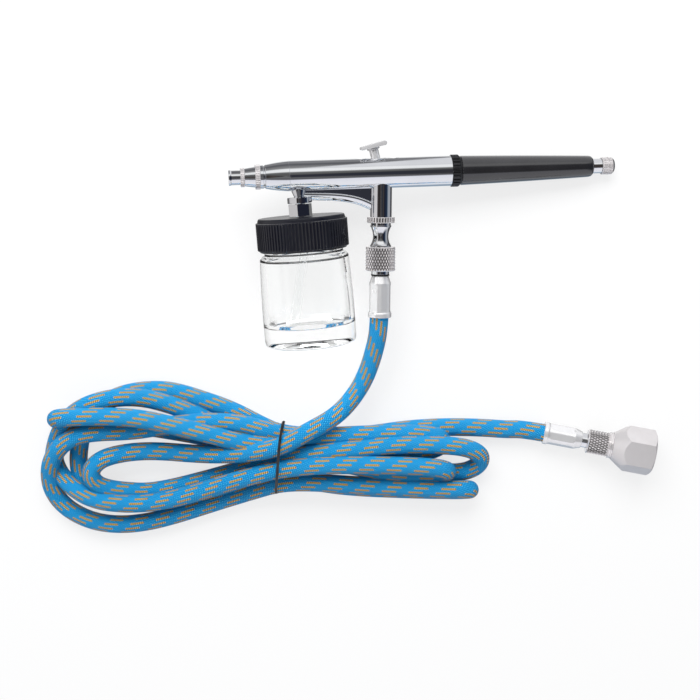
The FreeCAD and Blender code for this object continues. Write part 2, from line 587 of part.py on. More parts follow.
def make_valve():
    """The air valve under the trigger; its stations run down from the barrel's axis."""
    fit = dims.running
    collar_end = dims.post_end + dims.valve_collar
    groove_end = collar_end + dims.valve_groove
    foot_end = dims.foot_at + dims.foot_len
    thread_end = nipple_at - fit
    casing = revolved("valve_casing", [
        (dims.valve_top, dims.guide_hole_r), (dims.valve_top, dims.post_bore_r - fit),
        (dims.post_end, dims.post_bore_r - fit), (dims.post_end, dims.valve_collar_r),
        (collar_end, dims.valve_collar_r), (collar_end, dims.valve_groove_r), (groove_end, dims.valve_groove_r),
        (groove_end, dims.foot_r), (groove_end + 0.5, dims.foot_r, -0.25), (dims.waist_at, dims.waist_r, -0.25),
        (dims.foot_at, dims.foot_r), (foot_end, dims.foot_r), (foot_end, dims.thread_r),
        (thread_end, dims.thread_r), (thread_end, dims.outlet_r),
        (dims.spring_chamber_end, dims.outlet_r), (dims.spring_chamber_end, dims.spring_chamber_r),
        (dims.spring_chamber, dims.spring_chamber_r), (dims.spring_chamber, dims.guide_hole_r)])
    cuts_round(casing, "valve_casing", [(-0.3, dims.valve_collar_r + 1), (-0.3, dims.valve_collar_r - 0.4),
                                        (0.3, dims.valve_collar_r - 0.4), (0.3, dims.valve_collar_r + 1)],
               collar_end - 0.4, dims.valve_collar - 0.8, 30)
    piece(casing, "valve_casing", VALVE)
    ball_at = dims.ball_drop / math.cos(math.radians(float(dims.valve_lean)))
    plunger_top = ball_at + dims.ball_r + fit
    disc_end = dims.disc_at + dims.disc_len
    stem_r = dims.guide_hole_r - fit
    turned("valve_plunger", [
        (plunger_top, 0), (plunger_top, 1.5), (plunger_top + 0.6, 1.5), (plunger_top + 0.6, stem_r),
        (dims.disc_at, stem_r), (dims.disc_at, dims.disc_r), (disc_end, dims.disc_r),
        (disc_end, dims.plunger_tail_r), (dims.plunger_end, dims.plunger_tail_r), (dims.plunger_end, 0)], VALVE)
    turned("valve_seal", [
        (dims.spring_chamber, stem_r), (dims.spring_chamber, dims.disc_r), (dims.disc_at, dims.disc_r),
        (dims.disc_at, stem_r)], VALVE)
    wire_r = dims.valve_wire / 2
    spring = coil(float(dims.valve_spring_end - disc_end - dims.valve_wire), float(dims.valve_spring_r),
                  float(wire_r), float(dims.valve_spring_turns))
    set_coil("valve_spring", spring, disc_end + wire_r, VALVE)
    screw_end = dims.valve_spring_end + dims.valve_screw_len
    screw_r = dims.spring_chamber_r - fit
    screw = revolved("valve_screw", [
        (dims.valve_spring_end, dims.plunger_tail_r + 0.2), (dims.valve_spring_end, screw_r), (screw_end, screw_r),
        (screw_end, dims.plunger_tail_r + 0.2)])
    cuts_round(screw, "valve_screw", [(-0.3, 0.2), (-0.3, 2.5), (0.3, 2.5), (0.3, 0.2)], screw_end, 0.8, 2)
    piece(screw, "valve_screw", VALVE)


nut_at = dims.foot_at + dims.foot_len + dims.nut_gap
nut_end = nut_at + dims.nut_len
nipple_at = nut_end - dims.nut_wall - dims.running - dims.nipple_flange
neck_end = nut_end + dims.running + dims.neck_len
hose_seal_end = neck_end + dims.seal_thick
ferrule_end = hose_seal_end + dims.ferrule_len


def ferrule_outline(start, end, neck_r, lip_first):
    """A crimped ferrule from start to end with its lip at the hose's side and its neck at the other."""
    lip, shoulder = dims.ferrule_lip, dims.ferrule_shoulder
    grip_r = dims.hose_r + dims.running
    closed, hole_r = dims.ferrule_len - dims.hose_grip, dims.barb_r + dims.running
    if lip_first:
        hollow_end = start + dims.hose_grip
        return [(start, grip_r), (start, dims.ferrule_lip_r), (start + lip - 0.6, dims.ferrule_lip_r),
                (start + lip, dims.ferrule_r), (end - shoulder, dims.ferrule_r), (end, neck_r), (end, hole_r),
                (hollow_end, hole_r), (hollow_end, grip_r)]
    return [(start, hole_r), (start, neck_r), (start + shoulder, dims.ferrule_r), (end - lip, dims.ferrule_r),
            (end - lip + 0.6, dims.ferrule_lip_r), (end, dims.ferrule_lip_r), (end, grip_r),
            (start + closed, grip_r), (start + closed, hole_r)]


def crimped(body, name, end, length):
    """Presses six flats into a ferrule."""
    flat = dims.crimp_flat
    return cuts_round(body, name, [(-3.5, flat), (-3.5, 6), (3.5, 6), (3.5, flat)], end, length, 6)


def make_hose_end():
    """Knurled hose nut, nipple, seal and ferrule below the valve."""
    fit = dims.running
    thread_hole = dims.thread_r + 0.1
    wall_at = nut_end - dims.nut_wall
    hole_r = dims.shank_r + fit
    nut = revolved("hose_nut", [
        (nut_at, thread_hole), (nut_at, dims.nut_r - 0.3), (nut_at + 0.3, dims.nut_r),
        (nut_end - 0.3, dims.nut_r), (nut_end, dims.nut_r - 0.3), (nut_end, hole_r), (wall_at, hole_r),
        (wall_at, thread_hole)])
    cuts_round(nut, "hose_nut", vee(dims.nut_r, 0.3, 0.4), nut_end, dims.nut_len, 36)
    piece(nut, "hose_nut", VALVE)
    neck_at = nut_end + fit
    barb_end = hose_seal_end + dims.barb_len
    turned("hose_nipple", [
        (nipple_at, dims.hose_bore_r), (nipple_at, dims.thread_r), (wall_at - fit, dims.thread_r),
        (wall_at - fit, dims.shank_r), (neck_at, dims.shank_r), (neck_at, dims.neck_r), (neck_end, dims.neck_r),
        (neck_end, dims.barb_r), (barb_end, dims.barb_r), (barb_end, dims.hose_bore_r)], VALVE)
    turned("hose_seal", [
        (neck_end, dims.barb_r + fit), (neck_end, dims.neck_r + 0.1), (hose_seal_end, dims.neck_r + 0.1),
        (hose_seal_end, dims.barb_r + fit)], VALVE)
    ferrule = revolved("hose_ferrule", ferrule_outline(hose_seal_end, ferrule_end, dims.ferrule_neck_r, False))
    crimped(ferrule, "hose_ferrule", ferrule_end - dims.ferrule_lip, dims.ferrule_len - 6)
    piece(ferrule, "hose_ferrule", VALVE)


def make_siphon():
    """Siphon stem, nut, bent dip tube, ribbed lid, gasket and jar, down from the barrel's axis."""
    fit = dims.running
    barb_end = dims.stem_end + dims.stem_barb
    turned("siphon_stem", [
        (stem_at - dims.stem_spigot, dims.stem_bore_r), (stem_at - dims.stem_spigot, dims.stem_spigot_r),
        (stem_at, dims.stem_spigot_r), (stem_at, dims.stem_tube_r), (dims.stem_end, dims.stem_tube_r),
        (dims.stem_end, dims.stem_barb_r), (barb_end, dims.stem_barb_r), (barb_end, dims.stem_bore_r)], SIPHON)
    stem_hole = dims.stem_tube_r + fit
    nut = hexagonal("siphon_nut", dims.siphon_nut_flats, dims.siphon_nut_at, dims.siphon_nut_len)
    hole = cylinder("siphon_nut_hole", stem_hole, dims.siphon_nut_at - 1, dims.siphon_nut_len + 2, GUN)
    piece(cut("siphon_nut_cut", nut, hole), "siphon_nut", SIPHON)
    dip_length = float(dims.dip_end - dims.dip_straight)
    lean = math.radians(float(dims.dip_bend))
    bend_at = Vector(float(dims.dip_straight), 0, 0)
    end = bend_at + Vector(dip_length, 0, dip_length * math.tan(lean))
    wire = rounded_path([Vector(float(dims.stem_end) + 0.05, 0, 0), bend_at, end])[0]
    set_shape("dip_tube", tube_along(wire, float(dims.dip_r), float(dims.dip_bore_r)), SIPHON)
    lid_under = dims.lid_at + dims.lid_top
    neck_hole = dims.jar_neck_r + 0.15
    lid = revolved("jar_lid", [
        (dims.lid_at, stem_hole), (dims.lid_at, dims.lid_top_r - 0.5), (dims.lid_at + 0.3, dims.lid_top_r),
        (dims.lid_at + dims.lid_chamfer, dims.lid_top_r + 0.3), (dims.lid_at + dims.lid_chamfer, dims.lid_r - 0.2),
        (dims.lid_at + dims.lid_chamfer + 0.2, dims.lid_r), (dims.lid_ribs_end - 0.2, dims.lid_r),
        (dims.lid_ribs_end, dims.lid_r - 0.2), (dims.lid_ribs_end, dims.lid_skirt_r + 0.3),
        (dims.lid_end, dims.lid_skirt_r), (dims.lid_end, neck_hole), (lid_under, neck_hole),
        (lid_under, stem_hole)])
    cuts_round(lid, "jar_lid", [(-0.3, dims.lid_r + 0.5), (-0.3, dims.lid_r - dims.rib_depth),
                                (0.3, dims.lid_r - dims.rib_depth), (0.3, dims.lid_r + 0.5)],
               dims.lid_ribs_end - 0.2, dims.lid_ribs_end - dims.lid_at - dims.lid_chamfer - 0.4, dims.rib_count)
    piece(lid, "jar_lid", SIPHON)
    jar_at = lid_under + dims.gasket_thick
    turned("lid_gasket", [(lid_under, dims.dip_r + 0.3), (lid_under, dims.jar_neck_r), (jar_at, dims.jar_neck_r),
                          (jar_at, dims.dip_r + 0.3)], SIPHON)
    mouth_at = jar_at + fit
    shoulder_at = dims.jar_neck_end
    inside_r = dims.jar_shoulder_r - dims.jar_wall
    turned("jar", [
        (mouth_at, dims.jar_mouth_r), (mouth_at, dims.jar_neck_r), (shoulder_at, dims.jar_neck_r),
        (shoulder_at + 0.3, dims.jar_shoulder_r - 0.9, 0.25),
        (shoulder_at + dims.jar_shoulder, dims.jar_shoulder_r),
        (dims.jar_end - dims.jar_corner, dims.jar_base_r, 0.6), (dims.jar_end, dims.jar_base_r - dims.jar_corner),
        (dims.jar_end, 0), (dims.jar_floor, 0), (dims.jar_floor, dims.jar_base_r - dims.jar_wall - 2, 0.5),
        (dims.jar_floor - 2, dims.jar_base_r - dims.jar_wall), (shoulder_at + 2.6, inside_r),
        (shoulder_at + 0.6, dims.jar_mouth_r)], SIPHON)


far_neck_at = dims.far_ferrule
far_sleeve_at = far_neck_at + dims.far_neck
far_flange_at = far_sleeve_at + dims.far_sleeve
far_cone_at = far_flange_at + dims.far_flange
far_hex_at = far_cone_at + dims.far_cone
far_end = far_hex_at + dims.far_hex


def make_far_fitting():
    """Ferrule, nipple, knurled sleeve, hexagonal swivel nut and washer on the hose's far end."""
    fit = dims.running
    ferrule = revolved("far_ferrule", ferrule_outline(Size.of(0), far_neck_at, dims.far_neck_r + 0.4, True))
    crimped(ferrule, "far_ferrule", far_neck_at - 3.6, dims.far_ferrule - 6.4)
    piece(ferrule, "far_ferrule", FAR)
    barb_at = dims.hose_grip + fit
    washer_at = far_cone_at + 2.4
    turned("far_nipple", [
        (barb_at, dims.hose_bore_r), (barb_at, dims.barb_r), (far_neck_at, dims.barb_r),
        (far_neck_at, dims.far_neck_r), (far_sleeve_at + 2, dims.far_neck_r), (far_sleeve_at + 2, dims.shank_r),
        (washer_at, dims.shank_r), (washer_at, 4.4), (washer_at + 1.4, 4.4), (washer_at + 1.4, dims.hose_bore_r)],
        FAR)
    sleeve_hole = dims.shank_r + fit
    sleeve = revolved("far_sleeve", [
        (far_sleeve_at, dims.far_neck_r + fit), (far_sleeve_at, dims.far_sleeve_r - 0.4),
        (far_sleeve_at + 0.4, dims.far_sleeve_r), (far_flange_at - 0.5, dims.far_sleeve_r),
        (far_flange_at, dims.far_sleeve_r - 0.5), (far_flange_at, dims.far_flange_r),
        (far_cone_at, dims.far_flange_r), (far_cone_at, sleeve_hole), (far_sleeve_at + 2 + fit, sleeve_hole),
        (far_sleeve_at + 2 + fit, dims.far_neck_r + fit)])
    cuts_round(sleeve, "far_sleeve", vee(dims.far_sleeve_r, 0.3, 0.4), far_flange_at, dims.far_sleeve, 32)
    piece(sleeve, "far_sleeve", FAR)
    nut_from = far_cone_at + fit
    thread_at = far_end - dims.far_thread
    seat_at = thread_at - dims.far_seat
    corner_r = dims.far_flats / 2 * (1 / math.cos(math.radians(30)))
    prism = hexagonal("far_nut_prism", dims.far_flats, nut_from, far_end - nut_from)
    body = revolved("far_nut_turned", [
        (nut_from, sleeve_hole), (nut_from, dims.far_flange_r + 0.1), (far_hex_at + 1.2, corner_r + 0.1),
        (far_end - 0.9, corner_r + 0.1), (far_end, dims.far_flats / 2 - 0.4), (far_end, dims.far_thread_r),
        (thread_at, dims.far_thread_r), (thread_at, dims.far_seat_r), (seat_at, dims.far_seat_r), (seat_at, 4.6),
        (washer_at - fit, 4.6), (washer_at - fit, sleeve_hole)])
    nut = doc.addObject("Part::MultiCommon", "far_nut_common")
    nut.Shapes = [prism, body]
    piece(nut, "far_nut", FAR)
    rim_r, washer_end = dims.far_seat_r - fit, seat_at + fit + dims.far_washer
    turned("far_washer", [
        (seat_at + fit, dims.far_bore_r), (seat_at + fit, rim_r), (washer_end, rim_r),
        (washer_end, dims.far_bore_r)], FAR)


# the fitting lies on its lip and on the near edge of a flat, so it tips up towards its open end
FAR_PITCH = math.atan((float(dims.far_flats) / 2 - float(dims.ferrule_lip_r)) / float(far_hex_at))
FAR = Placement(Vector(float(dims.far_x), float(dims.far_y), float(dims.ferrule_lip_r) * math.cos(FAR_PITCH)),
                Rotation(float(dims.far_yaw), -math.degrees(FAR_PITCH), 0))


def lie_on_table():
    """The gun's turn, which sets the lid's ribs, the jar's base and the knob's rim on the table."""
    lean = math.radians(float(dims.siphon_lean))
    lid_r = float(dims.lid_r)
    rise = (float(dims.jar_base_r) - lid_r) / float(dims.jar_end - dims.jar_corner - dims.lid_ribs_end)
    axis_height = lid_r - rise * float(dims.lid_ribs_end)
    reach, rim_r = float(knob_end - 0.9) - float(dims.siphon_x), float(dims.knob_r)
    pitch = math.asin(axis_height / math.hypot(reach, rim_r)) - math.atan(rim_r / reach)
    roll = -math.asin((rise + math.sin(pitch) * math.sin(lean)) / (math.cos(pitch) * math.cos(lean)))
    return Rotation(GUN_YAW, math.degrees(pitch), math.degrees(roll) - 90)


# Route of the hose in the model's frame: from the gun's ferrule to the hank, and from the hank to the far
# ferrule. The stretch inside each ferrule and the first run outside it are worked out from the fitting.
LEAD_ROUTE = [(-19.3, -42.1, 12.4), (-23.0, -53.6, 9.8), (-29.3, -64.2, 10.2), (-36.4, -71.6, 12.6),
              (-43.4, -78.2, 14.2)]
TAIL_ROUTE = [(-20.9, -76.9, 3.8), (6.6, -77.8, 3.75), (27.6, -77.6, 3.75)]
LEAD_OUT, TAIL_OUT = 3.5, 8.0
# the hank's outline on the table, from the left end of its loops along its near side; the tie is at TIE_X
TIE_X = -59.8
HANK_OUTLINE = [
    (-158.8, -98.0), (-153.0, -111.8), (-144.9, -119.0), (-130.7, -122.3), (-113.8, -121.9),
    (-96.8, -117.1), (-77.7, -110.9), (-63.4, -105.2), (-55.4, -104.6), (-33.5, -105.2), (8.5, -107.4),
    (18.6, -106.3), (24.8, -101.3), (30.5, -94.8), (31.6, -88.8), (28.2, -84.9), (17.3, -82.0),
    (-8.5, -81.9), (-13.5, -78.5), (-25.2, -76.3), (-55.4, -75.0), (-63.4, -74.4), (-81.0, -64.4),
    (-95.4, -59.4), (-105.6, -56.8), (-118.0, -57.7), (-138.5, -64.0), (-149.4, -67.4), (-155.0, -72.9),
    (-156.9, -84.0)]


def make_hose(gun):
    """The hose's two free stretches as tubes, the hank as one solid, and the tie round it."""
    valve = gun.multiply(VALVE)
    grip, out = float(dims.hose_grip), float(ferrule_end)
    lead = [valve.multVec(Vector(out - grip + 0.1, 0, 0)), valve.multVec(Vector(out + LEAD_OUT, 0, 0))]
    lead += [Vector(*point) for point in LEAD_ROUTE]
    tail = [Vector(*point) for point in TAIL_ROUTE]
    tail += [FAR.multVec(Vector(-TAIL_OUT, 0, 0)), FAR.multVec(Vector(grip - 0.1, 0, 0))]
    hose_r = float(dims.hose_r)
    for name, points in (("hose_lead", lead), ("hose_tail", tail)):
        wire, radii = rounded_path(points)
        tube = tube_along(wire, hose_r)
        expected = math.pi * hose_r ** 2 * wire.Length
        print(name, "length", round(wire.Length, 1), "radii", [round(r, 1) for r in radii],
              "volume ratio", round(tube.Volume / expected, 4))
        set_shape(name, tube, GUN)
    hank = new_body("hose_hank")
    sketch = outline(hank, "hose_hank_outline", "XY_Plane", HANK_OUTLINE)
    pad = hank.newObject("PartDesign::Pad", "hose_hank_pad")
    pad.Profile = sketch
    bind(pad, "Length", dims.hank_height)
    piece(hank, "hose_hank", GUN)
    thick, half = dims.tie_thick, dims.tie_width / 2
    near, away = Size.of(-105.4), Size.of(-74.1)
    ring = box("tie_outer", (TIE_X - half, near, 0), (TIE_X + half, away, dims.hank_height + thick), GUN)
    hole = box("tie_inner", (TIE_X - 5, near + thick, thick), (TIE_X + 5, away - thick, dims.hank_height), GUN)
    piece(cut("tie_cut", ring, hole), "hose_tie", GUN)


def place_gun():
    """Turns the gun's pieces onto the table and centres the model's origin under them."""
    gun = Placement(Vector(), lie_on_table())
    doc.recompute()
    bounds = FreeCAD.BoundBox()
    for item, frame in pieces.values():
        item.Placement = gun.multiply(frame)
        bounds.add(item.Shape.optimalBoundingBox(True, False))
    centre = Vector(bounds.Center.x, bounds.Center.y, bounds.ZMin)
    print("centred by", centre, "size", bounds.XLength, bounds.YLength, bounds.ZLength)
    print("gun's turn", gun.Rotation.getYawPitchRoll())
    for item, frame in pieces.values():
        placed = gun.multiply(frame)
        placed.Base = placed.Base - centre
        item.Placement = placed
    return Placement(gun.Base - centre, gun.Rotation)


def place_rest():
    """Places the far fitting and the hose, whose frames are already the model's own."""
    for name in ("far_ferrule", "far_nipple", "far_sleeve", "far_nut", "far_washer", "hose_lead", "hose_tail",
                 "hose_hank", "hose_tie"):
        item, frame = pieces[name]
        item.Placement = frame


def export():
    """Checks every object and sub-part, then writes each sub-part to its own file."""
    doc.recompute()
    for item in doc.Objects:
        faults = [state for state in item.State if state in ("Invalid", "Error")]
        if faults:
            raise RuntimeError(f"{item.Label}: {faults}")
    os.makedirs("parts", exist_ok=True)
    for name, (item, _) in pieces.items():
        if item.Shape.isNull() or not item.Shape.isValid():
            raise RuntimeError(f"{name} has no valid shape")
        item.Shape.exportStep(f"parts/{name}.step")
        print(name, len(item.Shape.Solids), round(item.Shape.Volume, 2))


make_front()
make_barrel_body()
make_needle_train()
make_tail()
make_trigger()
make_valve()
make_hose_end()
make_siphon()
gun_place = place_gun()
make_far_fitting()
make_hose(gun_place)
doc.recompute()
place_rest()
export()
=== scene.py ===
"""Looks of a dual-action airbrush with a siphon jar, lying beside its tied hank of braided air hose.

Every length of the part is in millimetres until it goes into a mesh, and the studio is in metres. Every piece
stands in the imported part's own frame: +Z up from the table, +X along the gun from its nozzle to its tail.
"""
from __future__ import annotations

import logging
import math
from dataclasses import dataclass
from enum import Enum
from typing import Callable, Sequence

import bpy
import numpy as np
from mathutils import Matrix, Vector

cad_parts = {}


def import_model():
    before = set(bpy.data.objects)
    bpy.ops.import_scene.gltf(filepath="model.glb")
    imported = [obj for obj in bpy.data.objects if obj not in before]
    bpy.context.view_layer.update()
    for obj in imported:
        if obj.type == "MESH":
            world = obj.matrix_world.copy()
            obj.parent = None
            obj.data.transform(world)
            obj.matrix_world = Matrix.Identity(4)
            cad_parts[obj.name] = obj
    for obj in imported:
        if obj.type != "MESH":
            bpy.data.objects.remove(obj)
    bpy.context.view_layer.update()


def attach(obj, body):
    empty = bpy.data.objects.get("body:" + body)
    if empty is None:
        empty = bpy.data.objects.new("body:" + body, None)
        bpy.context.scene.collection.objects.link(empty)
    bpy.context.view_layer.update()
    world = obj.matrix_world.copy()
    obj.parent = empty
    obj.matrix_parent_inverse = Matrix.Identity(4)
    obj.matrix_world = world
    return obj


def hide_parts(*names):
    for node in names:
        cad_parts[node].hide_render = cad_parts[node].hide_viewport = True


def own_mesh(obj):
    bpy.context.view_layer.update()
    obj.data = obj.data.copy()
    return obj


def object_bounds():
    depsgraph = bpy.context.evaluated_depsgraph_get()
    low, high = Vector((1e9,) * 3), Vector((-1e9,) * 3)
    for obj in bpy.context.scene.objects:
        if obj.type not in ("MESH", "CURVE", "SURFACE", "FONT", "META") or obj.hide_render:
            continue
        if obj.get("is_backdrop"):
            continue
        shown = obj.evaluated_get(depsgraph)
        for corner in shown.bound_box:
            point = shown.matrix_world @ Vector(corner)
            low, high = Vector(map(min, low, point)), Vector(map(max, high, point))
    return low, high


LOG = logging.getLogger("airbrush")
MM = 0.001
# an attribute of each point of a turned piece: how far below the plain rim it lies, in millimetres
RELIEF = "relief_mm"
# edges that turn by more degrees than this stay sharp
SHARP = 32.0
Piece = bpy.types.Object
Socket = bpy.types.NodeSocket
Array = np.ndarray
Point = tuple[float, float, float]
Colour = tuple[float, float, float]
Rows = Sequence[tuple[float, ...]]
Groove = Callable[[Array, Array], Array]
Shape = Callable[[Array, Array, Array], Array]


# ---------------------------------------------------------------- places

@dataclass(frozen=True)
class Place:
    """A local frame: where its origin is, in millimetres, and its three axes as the rows of a matrix."""

    origin: Point
    axes: tuple[tuple[float, ...], ...]

    @staticmethod
    def turned(origin: Point, yaw: float, pitch: float, roll: float) -> "Place":
        """A frame turned about X, then Y, then Z.

        Args:
            origin: its origin in the part's frame.
            yaw: degrees about Z.
            pitch: degrees about Y.
            roll: degrees about X.

        Returns:
            The frame.
        """
        turn = about(2, yaw) @ about(1, pitch) @ about(0, roll)
        return Place(origin, tuple(map(tuple, turn.T)))

    def child(self, origin: Point, swing: float) -> "Place":
        """A frame inside this one, turned by some degrees about this one's Y."""
        axes = about(1, swing).T @ np.array(self.axes)
        return Place(tuple(self.mm(np.array(origin, float))), tuple(map(tuple, axes)))

    def mm(self, points: Array) -> Array:
        """Local points, as points of the part's frame: the origin plus each coordinate along its axis."""
        return np.asarray(self.origin) + points @ np.array(self.axes)

    def local(self, points: Array) -> Array:
        """Points of the part's frame, as local points."""
        return (points - np.asarray(self.origin)) @ np.array(self.axes).T

    def on_axis(self, x: float) -> Array:
        """The point at a station on this frame's X axis, in the part's frame."""
        return self.mm(np.array((x, 0.0, 0.0)))


def about(axis: int, degrees: float) -> Array:
    """The matrix of a right-handed turn about one of the three axes.

    Args:
        axis: 0, 1 or 2 for X, Y or Z.
        degrees: how far it turns.

    Returns:
        The 3 by 3 matrix.
    """
    c, s = math.cos(math.radians(degrees)), math.sin(math.radians(degrees))
    one, two = (axis + 1) % 3, (axis + 2) % 3
    turn = np.eye(3)
    turn[one, one], turn[two, two], turn[two, one], turn[one, two] = c, c, s, -s
    return turn


# the gun's frame has X along the barrel from the needle cap's tip, Z towards the trigger and Y to the table
GUN = Place.turned((-76.56225, 25.91141, 21.06364), 1.7, 6.5683, -90.6729)
VALVE = GUN.child((60.0, 0.0, 0.0), 92.2)
SIPHON = GUN.child((26.9, 0.0, 0.0), 87.5)
TRIGGER = GUN.child((59.8694, 0.0, -3.4), -12.1)
FAR = Place.turned((51.7, -80.0, 4.62274), -9.6, -6.2068, 0.0)


# ---------------------------------------------------------------- surfaces

def rounded(outline: Rows, step: float | None = None, closed: bool = True) -> Array:
    """Rounds an outline's corners and divides its long runs.

    A corner (x, r, fillet) becomes five points of a parabola that starts and ends one tangent length away,
    which is the fillet times the tangent of half the turn, with one more point just outside each end, so
    that smooth shading keeps the flats beside it flat.

    Args:
        outline: corners, each with its fillet's radius as an optional third value.
        step: the longest run to leave undivided, or None.
        closed: whether the last corner joins the first.

    Returns:
        An (n, 2) array of points.
    """
    corners = np.array([row[:2] for row in outline], float)
    fillets = [row[2] if len(row) > 2 else 0.0 for row in outline]
    count, path = len(corners), []
    for i, (corner, fillet) in enumerate(zip(corners, fillets)):
        ends = not closed and i in (0, count - 1)
        into, out = corner - corners[i - 1], corners[(i + 1) % count] - corner
        short = min(np.hypot(*into), np.hypot(*out))
        if fillet <= 0 or ends or short < 1e-6:
            path.append(corner)
            continue
        into, out = into / np.hypot(*into), out / np.hypot(*out)
        turn = math.acos(float(np.clip(into @ out, -1, 1)))
        # two fillets and their guards always fit on one side
        reach = min(fillet * math.tan(turn / 2), 0.42 * short)
        guard = min(0.35 * reach, 0.06 * short)
        t = np.linspace(0, 1, 5)[:, None]
        start, end = corner - into * reach, corner + out * reach
        path.append(start - into * guard)
        path.extend((1 - t) ** 2 * start + 2 * t * (1 - t) * corner + t ** 2 * end)
        path.append(end + out * guard)
    points = np.array(path)
    if step:
        following = np.roll(points, -1, 0) if closed else points[1:]
        pieces = []
        for a, b in zip(points, following):
            parts = max(1, math.ceil(float(np.hypot(*(b - a))) / step))
            pieces.append(a + (b - a) * np.linspace(0, 1, parts, endpoint=False)[:, None])
        points = np.concatenate(pieces + ([] if closed else [points[-1:]]))
    return points


def grid_faces(rows: int, columns: int, round_rows: bool) -> Array:
    """Quads over a grid of rows times columns of points, whose last column joins the first.

    Args:
        rows: how many rows of points.
        columns: points in a row.
        round_rows: whether the last row joins the first.

    Returns:
        An (n, 4) array of point numbers, wound so that a turned shape faces outwards.
    """
    i = np.arange(rows if round_rows else rows - 1)[:, None]
    j = np.arange(columns)[None, :]
    a, b = i * columns, ((i + 1) % rows) * columns
    k = (j + 1) % columns
    return np.stack([a + j, a + k, b + k, b + j], -1).reshape(-1, 4)


def fan(ring: Array, tip: int) -> Array:
    """Triangles from each side of a ring of point numbers to one tip."""
    return np.stack([ring, np.roll(ring, -1), np.full(len(ring), tip)], -1)


def make_mesh(name: str, points: Array, faces: list[Array], sharp: float = SHARP) -> Piece:
    """Puts points and faces into a new smooth-shaded object at the origin.

    Args:
        name: the piece's name.
        points: an (n, 3) array in millimetres of the part's frame.
        faces: arrays of point numbers, each with three or more columns.
        sharp: edges that turn by more than this many degrees stay sharp.

    Returns:
        The object.
    """
    mesh = bpy.data.meshes.new(name)
    sizes = np.concatenate([np.full(len(f), f.shape[1]) for f in faces])
    mesh.vertices.add(len(points))
    mesh.vertices.foreach_set("co", (points * MM).astype(np.float32).ravel())
    mesh.loops.add(int(sizes.sum()))
    mesh.loops.foreach_set("vertex_index", np.concatenate([f.ravel() for f in faces]).astype(np.int32))
    mesh.polygons.add(len(sizes))
    mesh.polygons.foreach_set("loop_start", (np.cumsum(sizes) - sizes).astype(np.int32))
    mesh.update(calc_edges=True)
    mesh.validate()
    mesh.shade_smooth()
    mesh.set_sharp_from_angle(angle=math.radians(sharp))
    piece = bpy.data.objects.new(name, mesh)
    bpy.context.scene.collection.objects.link(piece)
    return piece


def turned(name: str, place: Place, outline: Rows, sides: int = 96, shape: Shape | None = None,
           step: float | None = None, sharp: float = SHARP) -> Piece:
    """A turned piece: an outline of (x, radius) swept round the X axis of its place.

    Each point is x along the axis and its radius away from it, at sides equal angles. A shape may change
    the radius by x and angle. An outline that starts and ends on the axis is closed there by fans, and any
    other closes on itself as a ring.

    Args:
        name: the piece's name.
        place: the frame whose X is the axis.
        outline: corners from the start's inside out, along, and back in at the end.
        sides: points in each ring.
        shape: a function of x, angle and radius that gives the new radius.
        step: the longest run between rings.
        sharp: degrees past which an edge stays sharp.

    Returns:
        The object.
    """
    solid = outline[0][1] == 0 and outline[-1][1] == 0
    profile = rounded(outline, step, closed=not solid)
    if solid:
        tips, profile = (profile[0], profile[-1]), profile[1:-1]
    angle = np.arange(sides) * (2 * math.pi / sides)
    x, r = np.meshgrid(profile[:, 0], angle, indexing="ij")[0], np.repeat(profile[:, 1:], sides, 1)
    depth = np.zeros(r.size + 2 * solid, np.float32)
    if shape:
        plain, r = r, shape(x, np.broadcast_to(angle, x.shape), r)
        depth[:r.size] = (plain - r).ravel()
    local = np.stack([x, r * np.cos(angle), r * np.sin(angle)], -1).reshape(-1, 3)
    faces = [grid_faces(len(profile), sides, not solid)]
    if solid:
        count = len(local)
        local = np.concatenate([local, [[tips[0][0], 0, 0], [tips[1][0], 0, 0]]])
        faces += [fan(np.arange(sides)[::-1], count), fan(np.arange(count - sides, count), count + 1)]
    piece = make_mesh(name, place.mm(local), faces, sharp)
    piece.data.attributes.new(RELIEF, "FLOAT", "POINT").data.foreach_set("value", depth)
    return piece


def slab(name: str, place: Place, outline: Rows, half: float, edge: float = 0.0,
         sharp: float = SHARP) -> Piece:
    """A plate: an outline in its place's XZ plane, from -half to half along Y, with rounded edges.

    The rings across the thickness are the outline moved inwards along its corners' mitres by edge times one
    minus the sine of a quarter turn, and the two ends are closed flat.

    Args:
        name: the piece's name.
        place: the frame it stands in.
        outline: corners (x, z, fillet), anticlockwise seen from -Y.
        half: half its thickness.
        edge: the radius of its rims.
        sharp: degrees past which an edge stays sharp.

    Returns:
        The object.
    """
    def normal(run: Array) -> Array:
        """Each run's unit normal, a quarter turn clockwise from it."""
        return np.stack([run[:, 1], -run[:, 0]], 1) / np.maximum(np.hypot(*run.T), 1e-9)[:, None]

    flat = rounded(outline)
    back, ahead = flat - np.roll(flat, 1, 0), np.roll(flat, -1, 0) - flat
    mitre = normal(back) + normal(ahead)
    mitre /= np.maximum((mitre ** 2).sum(1) / 2, 0.5)[:, None]
    if edge > 0:
        turn = np.linspace(0, math.pi / 2, 4)
        inset, deep = edge * (1 - np.sin(turn)), half - edge * (1 - np.cos(turn))
        inset, deep = np.concatenate([inset, inset[::-1]]), np.concatenate([-deep, deep[::-1]])
    else:
        inset, deep = np.zeros(2), np.array([-half, half])
    rings = flat[None] - mitre[None] * inset[:, None, None]
    local = np.stack([rings[..., 0], np.repeat(deep[:, None], len(flat), 1), rings[..., 1]], -1)
    count, columns = len(deep), len(flat)
    ring = np.arange(columns)
    faces = [grid_faces(count, columns, False), ring[None, ::-1], (ring + (count - 1) * columns)[None]]
    return make_mesh(name, place.mm(local.reshape(-1, 3)), faces, sharp)


